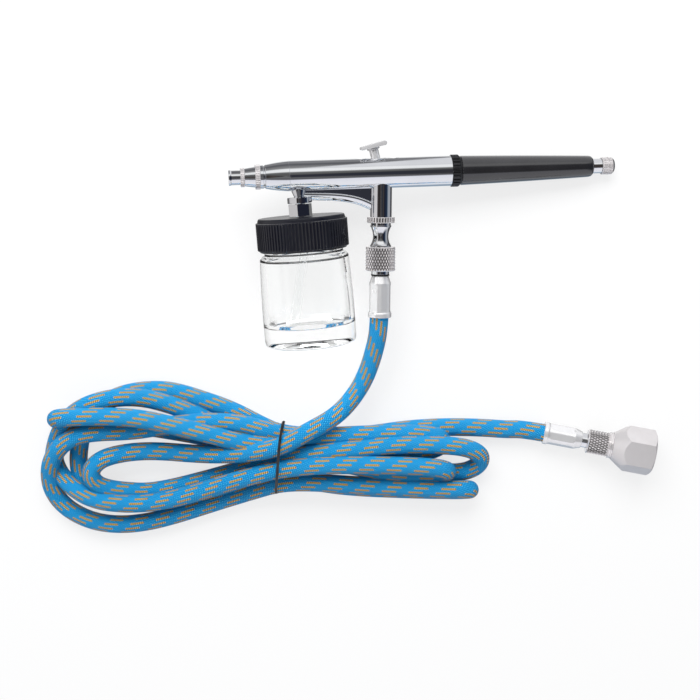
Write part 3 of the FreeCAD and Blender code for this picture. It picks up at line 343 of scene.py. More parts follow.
def tube(name: str, path: Array, section: Array, reference: Point = (0.0, 0.0, 1.0)) -> tuple[Piece, Array]:
    """A bar along a path: a section set out round each point, square to the path, closed by fans at its ends.

    Args:
        name: the piece's name.
        path: an (n, 3) array of points in millimetres, nowhere in line with the reference.
        section: an (m, 2) array, each point's distance towards the reference and to the path's right of it.
        reference: the direction that each section is set out from.

    Returns:
        The object and each point's distance along the path.
    """
    heading = np.gradient(path, axis=0)
    heading /= np.linalg.norm(heading, axis=1)[:, None]
    along = np.concatenate([[0], np.cumsum(np.linalg.norm(np.diff(path, axis=0), axis=1))])
    across = np.cross(heading, np.asarray(reference, float))
    across /= np.linalg.norm(across, axis=1)[:, None]
    up = np.cross(across, heading)
    sides = len(section)
    ring = section[None, :, :1] * up[:, None] + section[None, :, 1:] * across[:, None]
    points = (path[:, None] + ring).reshape(-1, 3)
    last = len(points)
    points = np.concatenate([points, path[[0, -1]]])
    faces = [grid_faces(len(path), sides, False), fan(np.arange(sides)[::-1], last),
             fan(np.arange(last - sides, last), last + 1)]
    return make_mesh(name, points, faces), along


def circle(radius: float, sides: int) -> Array:
    """A round section's points, from half a turn on."""
    angle = math.pi + np.arange(sides) * (2 * math.pi / sides)
    return radius * np.stack([np.cos(angle), np.sin(angle)], 1)


def wave(turns: Array) -> Array:
    """A triangle wave of one period a turn: 1 at whole turns and 0 half way between them."""
    return np.abs(2 * (turns - np.floor(turns)) - 1)


def within(x: Array, start: float, end: float, soft: float = 0.15) -> Array:
    """1 between start and end, falling to 0 over a short run outside each."""
    return np.clip((x - start) / soft + 1, 0, 1) * np.clip((end - x) / soft + 1, 0, 1)


def relief(depth: float, start: float, end: float, floor: float, groove: Groove, soft: float = 0.15) -> Shape:
    """A pattern cut into a rim: the radius less depth times a groove's share, over a run of the axis.

    Args:
        depth: how deep the pattern is.
        start: where it begins along the axis.
        end: where it stops.
        floor: radii under this stay as they are.
        groove: a function of x and angle that gives 0 on the rim to 1 at the bottom of a groove.
        soft: the run over which the pattern fades past each end.

    Returns:
        The shape.
    """
    def shape(x: Array, angle: Array, r: Array) -> Array:
        """The radius less the pattern's depth there."""
        return r - depth * groove(x, angle) * within(x, start, end, soft) * (r > floor)
    return shape


def flutes(count: int, depth: float, start: float, end: float, floor: float, width: float = 0.5) -> Shape:
    """Straight V grooves, so many round a rim: the part of a triangle wave that rises into its top width."""
    return relief(depth, start, end, floor,
                  lambda x, angle: np.clip((wave(angle * count / (2 * math.pi)) - 1 + width) / width, 0, 1))


def slots(count: int, depth: float, start: float, end: float, floor: float, width: float) -> Shape:
    """Square slots, so many round a rim: wherever a triangle wave is in its top width, with steep walls.

    Args:
        count: how many slots.
        depth: how deep they are.
        start: where they begin along the axis.
        end: where they stop.
        floor: radii under this stay as they are.
        width: the share of the rim that they take.

    Returns:
        The shape.
    """
    steep = 8
    return relief(depth, start, end, floor, lambda x, angle: np.clip(
        (wave(angle * count / (2 * math.pi)) - 1 + width) * steep, 0, 1), soft=0.08)


def diamonds(count: int, depth: float, pitch: float, start: float, end: float, floor: float) -> Shape:
    """Diamond knurling: one minus the lower of two triangle waves, which leaves small pyramids.

    The waves run round the rim and along the axis together, one each way, so many pyramids round the rim
    and a pitch of each along the axis.

    Args:
        count: how many pyramids round the rim.
        depth: how high they stand.
        pitch: the run of the axis that each takes.
        start: where they begin along the axis.
        end: where they stop.
        floor: radii under this stay as they are.

    Returns:
        The shape.
    """
    def groove(x: Array, angle: Array) -> Array:
        """One minus the lower wave at each point."""
        round_it, along = angle * count / (2 * math.pi), x / pitch
        return 1 - np.minimum(wave(round_it + along), wave(round_it - along))
    return relief(depth, start, end, floor, groove)


def flats(count: int, across: float, start: float, end: float, ease: float = 0.0, turn: float = 0.0,
          floor: float = 0.0) -> Shape:
    """Flats round a bar: no point further out than half the size across them, over its angle's cosine.

    Args:
        count: how many flats.
        across: the size across two of them.
        start: where they begin along the axis.
        end: where they stop.
        ease: how far the flats run out past their ends.
        turn: degrees that they are turned about the axis.
        floor: radii under this stay as they are.

    Returns:
        The shape.
    """
    def shape(x: Array, angle: Array, r: Array) -> Array:
        """The radius, or less where a flat lies closer."""
        share = 2 * math.pi / count
        limit = across / 2 / np.cos((angle - math.radians(turn)) % share - share / 2)
        outside = np.maximum(np.maximum(start - x, x - end), 0)
        if ease:
            limit = limit + outside / ease * np.maximum(r - across / 2, 0)
        else:
            limit = np.where(outside > 0, np.inf, limit)
        return np.where(r > floor, np.minimum(r, limit), r)
    return shape


def both(*shapes: Shape) -> Shape:
    """Shapes one after another.

    Args:
        shapes: the shapes, first to last.

    Returns:
        One shape that does what they all do.
    """
    def shape(x: Array, angle: Array, r: Array) -> Array:
        """The radius after each shape in turn."""
        for one in shapes:
            r = one(x, angle, r)
        return r
    return shape


class Join(Enum):
    """What a cutter does to a body."""

    ADD = "UNION"
    TAKE = "DIFFERENCE"


def carve(body: Piece, tools: Sequence[tuple[Piece, Join]], sharp: float = 30.0) -> None:
    """Adds pieces to a body or takes them from it, in order, and removes them from the scene.

    Args:
        body: the piece that is changed.
        tools: the cutters and what each does.
        sharp: degrees past which an edge stays sharp.
    """
    for tool, join in tools:
        change = body.modifiers.new(tool.name, "BOOLEAN")
        change.operation, change.solver, change.object = join.value, "EXACT", tool
        bpy.context.view_layer.update()
        held = bpy.data.meshes.new_from_object(body.evaluated_get(bpy.context.evaluated_depsgraph_get()))
        body.modifiers.clear()
        body.data = held
        bpy.data.objects.remove(tool)
    body.data.shade_smooth()
    body.data.set_sharp_from_angle(angle=math.radians(sharp))


# ---------------------------------------------------------------- finishes

class NodeWork:
    """Adds and links the nodes of one material, or of the world."""

    def __init__(self, name: str, world: bpy.types.World | None = None) -> None:
        """Starts with only a Principled shader, or for a world a Background, on the output.

        Args:
            name: the material's name.
            world: the world that the nodes belong to, if it isn't a material.
        """
        self.material = world or bpy.data.materials.new(name)
        self.material.use_nodes = True
        self.tree = self.material.node_tree
        self.tree.nodes.clear()
        self.out = self.add("OutputWorld" if world else "OutputMaterial")
        self.shader = self.add("Background" if world else "BsdfPrincipled")
        self.link(self.shader.outputs[0], self.out.inputs["Surface"])
        coords = self.add("TexCoord")
        self.object_coords = coords.outputs["Object"]
        if world:
            self.direction = self.add("SeparateXYZ")
            self.link(coords.outputs["Generated"], self.direction.inputs[0])

    def add(self, kind: str) -> bpy.types.Node:
        """A new shader node of a kind."""
        return self.tree.nodes.new("ShaderNode" + kind)

    def link(self, source: Socket, target: Socket) -> None:
        """Joins an output to an input."""
        self.tree.links.new(source, target)

    def plug(self, socket: Socket, value: object) -> None:
        """Sets an input to a value, or links it if the value is another node's output.

        Args:
            socket: the input.
            value: a number, a colour or another node's output.
        """
        if isinstance(value, Socket):
            self.link(value, socket)
        else:
            socket.default_value = value

    def principled(self, **values: object) -> None:
        """Sets or links inputs of the Principled shader, named with _ for each space."""
        for key, value in values.items():
            self.plug(self.shader.inputs[key.replace("_", " ")], value)

    def maths(self, operation: str, *values: object) -> Socket:
        """A Math node on the given values.

        Args:
            operation: Blender's name for what the node does.
            values: its inputs: numbers or other nodes' outputs.

        Returns:
            Its result.
        """
        node = self.add("Math")
        node.operation = operation
        for socket, value in zip(node.inputs, values):
            self.plug(socket, value)
        return node.outputs[0]

    def noise(self, scale: float, detail: float = 3.0, rough: float = 0.55,
              stretch: Point | None = None) -> Socket:
        """Noise on the object's own coordinates, so many cells in a metre, stretched where asked.

        Args:
            scale: how many cells to a metre.
            detail: how many finer layers there are.
            rough: how strong each finer layer is.
            stretch: a factor on the scale along each axis.

        Returns:
            The noise, from 0 to 1.
        """
        node = self.add("TexNoise")
        node.inputs["Scale"].default_value = scale
        node.inputs["Detail"].default_value = detail
        node.inputs["Roughness"].default_value = rough
        coords = self.object_coords
        if stretch:
            mapping = self.add("Mapping")
            mapping.inputs["Scale"].default_value = stretch
            self.link(coords, mapping.inputs["Vector"])
            coords = mapping.outputs[0]
        self.link(coords, node.inputs["Vector"])
        return node.outputs["Fac"]

    def ramp(self, value: Socket, stops: Sequence[tuple[float, object]]) -> Socket:
        """A colour ramp; each stop is a place and a colour or a grey.

        Args:
            value: how far along the ramp, from 0 to 1.
            stops: its stops.

        Returns:
            The colour.
        """
        node = self.add("ValToRGB")
        band = node.color_ramp
        while len(band.elements) < len(stops):
            band.elements.new(0.5)
        for element, (at, colour) in zip(band.elements, stops):
            element.position = at
            element.color = (*colour, 1) if isinstance(colour, tuple) else (colour, colour, colour, 1)
        self.link(value, node.inputs[0])
        return node.outputs[0]

    def blend(self, share: object, first: object, second: object) -> Socket:
        """A mix of two colours.

        Args:
            share: how much of the second colour.
            first: the colour at a share of 0.
            second: the colour at a share of 1.

        Returns:
            The colour.
        """
        node = self.add("Mix")
        node.data_type = "RGBA"
        for socket, value in zip((node.inputs[0], node.inputs[6], node.inputs[7]), (share, first, second)):
            self.plug(socket, (*value, 1) if isinstance(value, tuple) and len(value) == 3 else value)
        return node.outputs[2]

    def bump(self, height: Socket, deep_mm: float) -> None:
        """Bumps the surface by a height from 0 to 1.

        Args:
            height: the height.
            deep_mm: how far a height of 1 stands up, in millimetres.
        """
        node = self.add("Bump")
        node.inputs["Strength"].default_value = 1.0
        node.inputs["Distance"].default_value = deep_mm * MM
        self.link(height, node.inputs["Height"])
        self.link(node.outputs[0], self.shader.inputs["Normal"])

    def mix_in(self, share: Socket, other: bpy.types.Node) -> None:
        """Puts a mix of the main shader and another on the output; the share is the other's.

        Args:
            share: how much of the other shader.
            other: the other shader's node.
        """
        mix = self.add("MixShader")
        for source, target in zip((share, self.shader.outputs[0], other.outputs[0]), mix.inputs):
            self.link(source, target)
        self.link(mix.outputs[0], self.out.inputs["Surface"])


@dataclass(frozen=True)
class Metal:
    """A metal: its colour, its roughness where clean and where handled, its grain and tarnish, and painted
    shade in its grooves.
    """

    name: str
    colour: Colour
    clean: float
    handled: float
    grain_mm: float = 0.0
    grain_scale: float = 2500.0
    tarnish: Colour | None = None
    metallic: float = 1.0
    groove_shade_mm: float = 0.0
    groove_shade: Colour = (0.11, 0.10, 0.10)

    def material(self) -> bpy.types.Material:
        """Metal whose roughness drifts with handling marks and fine scratches, darker in its tarnish.

        Returns:
            The material.
        """
        work = NodeWork(self.name)
        marks = work.ramp(work.noise(90.0, 5.0, 0.6), [(0.35, 0.0), (0.75, 1.0)])
        fine = work.noise(900.0, 4.0, 0.7, (1.0, 0.12, 1.0))
        share = work.maths("MULTIPLY", marks, work.maths("ADD", fine, 0.35))
        rough = work.maths("MULTIPLY_ADD", share, self.handled - self.clean, self.clean)
        work.principled(Metallic=self.metallic, Roughness=rough)
        dark = self.tarnish or tuple(0.93 * c for c in self.colour)
        tone = work.ramp(work.noise(45.0, 4.0, 0.6), [(0.38, 0.0), (0.7, 1.0)])
        colour = work.blend(tone, self.colour, dark)
        # painted shade: the colour darkens towards the bottom of each groove, by how far the point lies below
        # the rim
        if self.groove_shade_mm:
            depth = work.add("Attribute")
            depth.attribute_name = RELIEF
            sunk = work.maths("MULTIPLY", depth.outputs["Fac"], 1 / self.groove_shade_mm)
            colour = work.blend(work.ramp(sunk, [(0.4, 0.0), (1.1, 1.0)]), colour, self.groove_shade)
        work.principled(Base_Color=colour)
        if self.grain_mm:
            work.bump(work.noise(self.grain_scale, 2.0, 0.6), self.grain_mm)
        return work.material


@dataclass(frozen=True)
class Moulded:
    """A moulded or painted surface: its colour, gloss and the faint unevenness of its skin."""

    name: str
    colour: Colour
    clean: float
    handled: float
    skin_mm: float = 0.004
    skin_scale: float = 700.0
    coat: float = 0.0

    def material(self) -> bpy.types.Material:
        """A dielectric with soft changes in gloss where hands have been, and a fine skin.

        Returns:
            The material.
        """
        work = NodeWork(self.name)
        marks = work.ramp(work.noise(70.0, 5.0, 0.6), [(0.35, 0.0), (0.72, 1.0)])
        rough = work.maths("MULTIPLY_ADD", marks, self.handled - self.clean, self.clean)
        dusty = tuple(min(1.0, 1.25 * c + 0.004) for c in self.colour)
        work.principled(Base_Color=work.blend(marks, self.colour, dusty), Roughness=rough)
        if self.coat:
            work.principled(Coat_Weight=self.coat, Coat_Roughness=0.04)
        work.bump(work.noise(self.skin_scale, 3.0, 0.6), self.skin_mm)
        return work.material


@dataclass(frozen=True)
class Glass:
    """Clear glass or clear tube, which lets lamps through to what is behind it."""

    name: str
    colour: Colour
    index: float
    rough: float
    ripple_mm: float

    def material(self) -> bpy.types.Material:
        """A transmitting shader with a faint moulding ripple, mixed to plain transparency for shadow rays.

        Returns:
            The material.
        """
        work = NodeWork(self.name)
        work.principled(Base_Color=(*self.colour, 1), Transmission_Weight=1.0, IOR=self.index,
                        Roughness=self.rough)
        work.bump(work.noise(60.0, 2.0, 0.4, (1.0, 0.35, 1.0)), self.ripple_mm)
        clear = work.add("BsdfTransparent")
        clear.inputs["Color"].default_value = (*[0.5 + 0.5 * c for c in self.colour], 1)
        work.mix_in(work.add("LightPath").outputs["Is Shadow Ray"], clear)
        return work.material


@dataclass(frozen=True)
class Braid:
    """The hose's woven cover: blue yarns over and under each other, with gold tracer yarns.

    It reads the hose's own map, whose first coordinate is metres along it and second metres round it.
    """

    name: str = "woven_blue_braid"
    round_mm: float = 23.562
    yarns: int = 26
    yarn_pitch_mm: float = 1.66
    dash_pitch_mm: float = 11.2
    tick_mm: float = 0.8
    dash_rows: int = 12
    dash_shift: float = -0.2
    dash_length: float = 0.52
    dash_width: float = 0.44
    weave_mm: float = 0.3
    # painted shade: the darkest blue, where the weave lies low between the yarns
    deep: Colour = (0.0, 0.10, 0.40)
    blue: Colour = (0.0, 0.26, 0.64)
    # painted highlight: a pale cyan on the yarns' crests and in the ticks along them
    light: Colour = (0.09, 0.62, 0.88)
    # the tracer's painted shade between its ticks, its plain gold, and its painted highlight on the ticks
    gold_shade: Colour = (0.15, 0.085, 0.012)
    gold: Colour = (0.40, 0.215, 0.022)
    gold_highlight: Colour = (0.95, 0.62, 0.18)

    def material(self) -> bpy.types.Material:
        """Two families of yarns slant both ways; a chessboard of their crossings says which lies on top.

        Returns:
            The material.
        """
        work = NodeWork(self.name)
        m = work.maths
        uv = work.add("UVMap")
        uv.uv_map = AirHose.MAP
        split = work.add("SeparateXYZ")
        work.link(uv.outputs[0], split.inputs[0])
        along, around = split.outputs[0], m("MULTIPLY", split.outputs[1], 1 / (self.round_mm * MM))
        run = m("MULTIPLY", along, 1 / (self.yarn_pitch_mm * MM))
        lay = m("MULTIPLY", around, float(self.yarns))
        one, two = m("ADD", run, lay), m("SUBTRACT", run, lay)
        which = m("FLOORED_MODULO", m("ADD", m("FLOOR", one), m("FLOOR", two)), 2.0)
        arch = [m("SINE", m("MULTIPLY", m("FRACT", t), math.pi)) for t in (one, two)]
        crest = [m("MULTIPLY", m("POWER", across, 0.6), m("MULTIPLY_ADD", length, 0.45, 0.55))
                 for across, length in (arch, arch[::-1])]
        height = m("ADD", m("MULTIPLY", crest[0], which), m("MULTIPLY", crest[1], m("SUBTRACT", 1.0, which)))
        fibres = work.noise(3200.0, 2.0, 0.7)
        row = m("MULTIPLY", around, float(self.dash_rows))
        place = m("SUBTRACT", m("MULTIPLY", along, 1 / (self.dash_pitch_mm * MM)),
                  m("MULTIPLY", m("FLOOR", row), self.dash_shift))
        off_middle = m("ABSOLUTE", m("SUBTRACT", m("FRACT", place), 0.5))
        off_row = m("ABSOLUTE", m("SUBTRACT", m("FRACT", row), 0.5))
        dash = m("MULTIPLY", m("LESS_THAN", off_middle, self.dash_length / 2),
                 m("LESS_THAN", off_row, self.dash_width / 2))
        # painted highlight and shade: a wave of light and dark ticks along each row of the weave
        ticks = m("ADD", m("MULTIPLY", along, 1 / (self.tick_mm * MM)), row)
        tick_highlight = m("SINE", m("MULTIPLY", ticks, 2 * math.pi))
        # the tone paints the weave's crests and ticks lighter and its hollows darker, over a random fibre tone
        tone = m("ADD", m("MULTIPLY_ADD", fibres, 0.4, m("MULTIPLY", height, 0.6)), m("MULTIPLY", tick_highlight, 0.2))
        blue = work.ramp(tone, [(0.1, self.deep), (0.45, self.blue), (0.65, self.blue), (0.95, self.light)])
        tracer = work.ramp(m("MULTIPLY_ADD", tick_highlight, 0.5, 0.5),
                           [(0.1, self.gold_shade), (0.5, self.gold), (0.92, self.gold_highlight)])
        work.principled(Base_Color=work.blend(dash, blue, tracer), Roughness=0.45, Specular_IOR_Level=0.22)
        work.bump(height, self.weave_mm)
        return work.material


class Finish(Enum):
    """The finishes, each named as the record's material slot that it is."""

    CHROME = ("chrome", Metal("polished_chrome", (0.84, 0.855, 0.88), 0.035, 0.10))
    CHROME_TRIM = ("chrome_trim", Metal("turned_chrome", (0.83, 0.84, 0.86), 0.07, 0.17))
    # knurled nickel carries painted shade in its grooves, full at about 0.6 mm below the rim
    KNURL = ("nickel_knurl", Metal("knurled_nickel", (0.86, 0.83, 0.83), 0.2, 0.3, grain_mm=0.0008,
                                   metallic=0.62, groove_shade_mm=0.55))
    NICKEL = ("nickel_satin", Metal("satin_nickel", (0.74, 0.715, 0.72), 0.36, 0.48, grain_mm=0.006,
                                    grain_scale=1800.0, tarnish=(0.66, 0.635, 0.635), metallic=0.45))
    CRIMP = ("chrome_trim", Metal("satin_crimp", (0.90, 0.895, 0.90), 0.2, 0.3, grain_mm=0.0012,
                                  grain_scale=1500.0, metallic=0.55))
    STEEL = ("steel", Metal("ground_steel", (0.62, 0.62, 0.63), 0.18, 0.3))
    BRASS = ("brass", Metal("turned_brass", (0.72, 0.52, 0.22), 0.16, 0.3))
    ANODISED = ("black_anodised", Metal("black_anodised", (0.07, 0.07, 0.075), 0.2, 0.32))
    HANDLE = ("handle_black", Moulded("gloss_black_handle", (0.012, 0.012, 0.014), 0.10, 0.2, skin_mm=0.002,
                                      skin_scale=500.0, coat=1.0))
    LID = ("lid_black", Moulded("satin_black_lid", (0.003, 0.0035, 0.008), 0.26, 0.4))
    GLASS = ("glass", Glass("clear_jar_glass", (0.992, 0.997, 0.996), 1.5, 0.0, 0.05))
    CLEAR = ("pvc_clear", Glass("clear_dip_tube", (0.985, 0.99, 0.99), 1.1, 0.05, 0.01))
    PTFE = ("ptfe", Moulded("white_seal", (0.80, 0.80, 0.78), 0.35, 0.5))
    RUBBER = ("rubber", Moulded("black_rubber", (0.012, 0.012, 0.012), 0.45, 0.6))
    TIE = ("tie_black", Moulded("black_twist_tie", (0.012, 0.012, 0.013), 0.35, 0.5))
    BRAID = ("braid_blue", Braid())

    @property
    def slot(self) -> str:
        """The record's slot."""
        return self.value[0]

    def material(self) -> bpy.types.Material:
        """This finish's material, made once."""
        made = bpy.data.materials.get(self.value[1].name)
        return made or self.value[1].material()


def dress(piece: Piece, finish: Finish) -> Piece:
    """Gives a piece one finish.

    Args:
        piece: the piece.
        finish: its finish.

    Returns:
        The piece.
    """
    piece.data.materials.clear()
    piece.data.materials.append(finish.material())
    finish.slot
    return piece


def trim(piece: Piece, finish: Finish, place: Place, start: float, end: float, floor: float) -> None:
    """Gives a second finish to the faces whose middles lie between two stations and outside a radius.

    Args:
        piece: the piece.
        finish: the second finish.
        place: the frame whose X is the axis.
        start: the first station.
        end: the last station.
        floor: the radius.
    """
    piece.data.materials.append(finish.material())
    middles = np.empty(3 * len(piece.data.polygons))
    piece.data.polygons.foreach_get("center", middles)
    local = place.local(middles.reshape(-1, 3) / MM)
    inside = (local[:, 0] > start) & (local[:, 0] < end) & (np.hypot(local[:, 1], local[:, 2]) > floor)
    piece.data.polygons.foreach_set("material_index", inside.astype(np.int32))


def stand_in(piece: Piece, finish: Finish, body: str, *nodes: str) -> Piece:
    """Dresses a piece, rides it on a body and has it stand for that body's CAD nodes.

    Args:
        piece: the piece.
        finish: its finish.
        body: the body that it rides on.
        nodes: the CAD nodes that it stands for.

    Returns:
        The piece.
    """
    dress(piece, finish)
    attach(piece, body)
    if nodes:
        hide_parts(*nodes)
    LOG.info("%s on %s for %s: %d faces", piece.name, body, nodes, len(piece.data.polygons))
    return piece


def spring(name: str, place: Place, ends: tuple[float, float], radius: float, wire: float, turns: int) -> None:
    """A coil spring on the gun that stands for its CAD node.

    Args:
        name: the CAD node's name.
        place: the frame whose X axis the spring lies along.
        ends: where it starts and ends along that axis, its wire included.
        radius: the radius of the wire's middle line.
        wire: the wire's diameter.
        turns: how many turns it has.
    """
    turn = np.linspace(0, 2 * math.pi * turns, 24 * turns + 1)
    along = np.linspace(ends[0] + wire / 2, ends[1] - wire / 2, len(turn))
    path = place.mm(np.stack([along, radius * np.sin(turn), radius * np.cos(turn)], 1))
    coil = tube(name + "_coil", path, circle(wire / 2, 10), place.axes[0])[0]
    stand_in(coil, Finish.STEEL, "gun", name)
    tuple(place.axes[0])
    tuple((place.on_axis(ends[1]) * MM).tolist())
    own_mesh(coil)


# ---------------------------------------------------------------- the air hose

def bowed(start: tuple[float, float], end: tuple[float, float], bow: float,
          count: int = 12) -> list[tuple[float, ...]]:
    """Points from start to end on a parabola that stands a bow out from their chord at its middle.

    Args:
        start: the first point.
        end: the last point.
        bow: how far the middle stands out.
        count: how many runs it is split into.

    Returns:
        The points.
    """
    t = np.linspace(0, 1, count + 1)
    line = np.array(start)[None] * (1 - t[:, None]) + np.array(end)[None] * t[:, None]
    along = np.array(end) - np.array(start)
    out = np.array((-along[1], along[0])) / np.hypot(*along)
    return [tuple(row) for row in line + out * (4 * bow * t * (1 - t))[:, None]]


@dataclass
class AirHose:
    """The braided hose, from the gun's ferrule through its hank to the far ferrule, and the tie round it."""

    MAP = "along_and_round"
    radius: float = 3.75
    length: float = 1.865
    sides: int = 24
    lead: Rows = ((-17.3, -16.67, 14.91), (-17.42, -33.07, 15.18), (-19.6, -44.7, 12.6),
                  (-23.4, -56.3, 10.5), (-29.4, -65.4, 11.5), (-35.9, -70.9, 15.5), (-43.2, -74.4, 18.6))
    hank: Rows = (
        (-50.9, -78.4, 19.9), (-58.6, -82.2, 20.5), (-65.2, -84.2, 18.6), (-72.5, -86.1, 15.5),
        (-80.9, -87.1, 13.3), (-89.4, -87.5, 11.6), (-97.9, -87.3, 10.3), (-106.3, -86.8, 9.6),
        (-114.6, -86.7, 9.4), (-122.0, -87.2, 9.8), (-129.0, -88.5, 10.6), (-133.4, -90.3, 11.4),
        (-136.6, -93.5, 11.8), (-137.1, -97.5, 11.4), (-134.7, -101.4, 9.6), (-129.4, -103.9, 7.0),
        (-123.2, -105.3, 4.8), (-116.2, -106.0, 3.75), (-109.8, -105.2, 3.75), (-102.1, -103.6, 3.75),
        (-90.7, -100.6, 3.75), (-80.8, -97.6, 4.3), (-70.4, -94.1, 6.8), (-59.3, -90.7, 10.5),
        (-48.7, -87.3, 13.6), (-37.6, -85.6, 14.2), (-26.6, -84.7, 14.0), (-15.5, -83.4, 13.8),
        (-4.7, -82.8, 13.6), (6.5, -83.1, 13.2), (16.0, -83.9, 12.5), (22.2, -86.0, 11.0),
        (25.7, -89.5, 8.5), (24.2, -94.4, 5.6), (17.9, -97.5, 4.0), (8.6, -97.3, 3.75), (-4.0, -95.8, 3.75),
        (-15.4, -94.7, 3.75), (-29.4, -94.1, 3.75), (-44.1, -93.6, 3.75), (-59.7, -92.4, 4.3),
        (-66.1, -88.3, 7.5), (-72.9, -83.4, 9.6), (-80.5, -79.0, 8.4), (-88.9, -73.9, 6.6),
        (-96.5, -70.0, 7.8), (-103.7, -67.0, 9.0), (-111.7, -64.3, 10.4), (-118.7, -63.1, 12.0),
        (-126.6, -63.2, 13.6), (-133.9, -64.9, 14.4), (-140.3, -67.9, 13.4), (-145.4, -72.4, 11.2),
        (-149.8, -78.3, 7.8), (-152.7, -84.5, 4.8), (-154.2, -90.4, 3.75), (-152.8, -95.6, 4.5),
        (-148.8, -100.1, 7.0), (-143.4, -104.0, 9.3), (-137.2, -107.0, 10.3), (-129.7, -108.8, 10.5),
        (-116.6, -109.3, 10.4), (-103.8, -107.3, 10.4), (-91.9, -103.7, 11.0), (-81.3, -99.9, 12.5),
        (-69.8, -95.8, 15.0), (-58.9, -92.6, 16.7), (-48.6, -91.2, 16.9), (-37.6, -90.6, 16.9),
        (-21.6, -90.6, 16.8), (-4.7, -91.1, 16.6), (5.1, -91.7, 16.6), (9.3, -92.7, 15.8),
        (11.4, -94.5, 12.6), (9.9, -96.3, 9.4), (4.9, -96.9, 8.8), (-8.5, -96.1, 9.5), (-21.0, -94.7, 9.0),
        (-32.7, -92.6, 7.6), (-42.7, -89.3, 7.6), (-50.9, -85.9, 10.0), (-59.0, -83.5, 14.0),
        (-67.2, -82.6, 14.2), (-76.1, -81.0, 15.2), (-87.3, -77.5, 17.2), (-96.0, -74.9, 18.3),
        (-104.8, -72.7, 18.8), (-113.9, -70.8, 18.8), (-123.0, -69.9, 18.8), (-131.9, -69.7, 18.8),
        (-139.6, -69.9, 18.8), (-145.0, -70.3, 18.4), (-148.5, -71.2, 15.6), (-150.7, -72.6, 11.3),
        (-150.8, -73.9, 6.9), (-148.6, -74.9, 4.1), (-143.3, -75.2, 3.75), (-134.1, -75.2, 3.75),
        (-121.6, -76.5, 3.75), (-109.0, -78.7, 3.75), (-96.5, -80.8, 3.75), (-81.9, -83.9, 3.75),
        (-70.6, -85.6, 3.75), (-59.6, -86.7, 3.75), (-49.1, -87.5, 3.75), (-37.8, -88.4, 3.75),
        (-25.1, -89.2, 3.75), (-10.4, -89.1, 3.75), (-0.7, -88.4, 3.75), (5.1, -87.9, 3.75),
        (8.6, -85.9, 4.6), (9.6, -83.2, 6.3), (7.4, -80.8, 8.4), (2.5, -79.5, 9.8), (-5.4, -78.9, 10.4),
        (-21.1, -79.2, 10.6), (-37.6, -79.9, 10.8), (-48.8, -80.1, 11.0), (-59.1, -79.1, 10.6),
        (-65.6, -76.7, 11.8), (-72.6, -74.7, 12.3), (-79.5, -73.7, 12.3), (-87.0, -73.5, 12.0),
        (-94.0, -73.9, 11.6), (-101.1, -74.8, 11.3), (-108.6, -75.9, 11.2), (-115.6, -77.2, 11.2),
        (-123.4, -77.8, 11.5), (-130.7, -77.8, 12.4), (-137.1, -78.1, 13.4), (-142.8, -79.5, 13.9),
        (-147.7, -82.6, 13.5), (-151.3, -86.8, 12.2), (-154.0, -92.1, 10.0), (-155.3, -98.0, 7.5),
        (-155.0, -104.6, 5.0), (-152.0, -110.7, 3.75), (-145.8, -115.8, 3.75), (-137.0, -119.5, 3.75),
        (-126.4, -120.6, 3.75), (-115.7, -119.4, 3.75), (-105.0, -116.7, 3.75), (-93.0, -112.8, 3.75),
        (-82.4, -109.3, 3.75), (-70.8, -105.3, 5.0), (-58.6, -100.4, 9.5), (-46.1, -100.0, 9.8),
        (-33.5, -100.8, 9.9), (-21.0, -101.6, 10.0), (-8.5, -102.1, 10.1), (4.0, -102.4, 10.9),
        (14.0, -102.5, 11.4), (19.2, -102.7, 10.9), (21.4, -103.8, 7.6), (19.9, -105.1, 4.3),
        (14.7, -105.4, 3.75), (2.4, -105.2, 3.75), (-10.3, -104.8, 3.75), (-23.0, -104.3, 3.75),
        (-35.7, -103.2, 3.75), (-47.1, -101.1, 3.75), (-59.8, -98.7, 3.75), (-71.6, -101.5, 3.75),
        (-83.5, -104.3, 3.75), (-95.0, -107.0, 3.75), (-106.5, -109.6, 3.75), (-118.5, -111.4, 3.75),
        (-129.1, -111.2, 3.75), (-135.8, -108.7, 3.75), (-140.5, -104.6, 3.75), (-143.2, -99.1, 3.75),
        (-143.9, -92.5, 3.75), (-142.9, -86.1, 5.0), (-140.7, -79.2, 8.6), (-137.3, -73.2, 10.6),
        (-133.7, -69.1, 8.2), (-128.8, -65.5, 5.2), (-122.8, -63.2, 3.9), (-113.6, -61.8, 3.75),
        (-105.2, -62.0, 3.75), (-98.2, -63.7, 3.75), (-91.2, -66.0, 3.75), (-83.7, -68.6, 3.75),
        (-77.5, -71.2, 3.75), (-71.2, -74.5, 3.75), (-65.4, -77.6, 3.75), (-59.6, -80.2, 3.75),
        (-49.1, -81.7, 3.75), (-35.7, -82.1, 3.75))
    tail: Rows = ((-23.1, -81.3, 3.75), (-14.3, -80.0, 3.75), (-5.0, -78.7, 3.75), (6.7, -77.9, 3.75),
                  (17.6, -77.8, 3.75), (27.7, -78.2, 3.75), (36.9, -78.9, 3.75), (43.85, -78.67, 3.82),
                  (64.35, -82.14, 5.93))
    # the tie's loop as (y, z, fillet), how it slants, and its strip's width and thickness
    tie_loop: Rows = ((-99.8, 0.3, 2.5), (-78.6, 0.3, 2.5), (-75.6, 3.2, 2.5), (-74.9, 11.0, 4.0),
                      (-78.3, 23.4, 3.0), (-81.8, 24.9, 2.5), (-86.0, 23.9, 4.0), (-96.0, 20.0, 5.0),
                      (-103.7, 13.6, 4.0), (-104.8, 9.0, 3.0), (-103.2, 2.6, 3.0))
    tie_at: float = -58.7
    tie_slant: float = 0.1
    tie_width: float = 1.15
    tie_thick: float = 0.45
    tie_fillet: float = 0.12

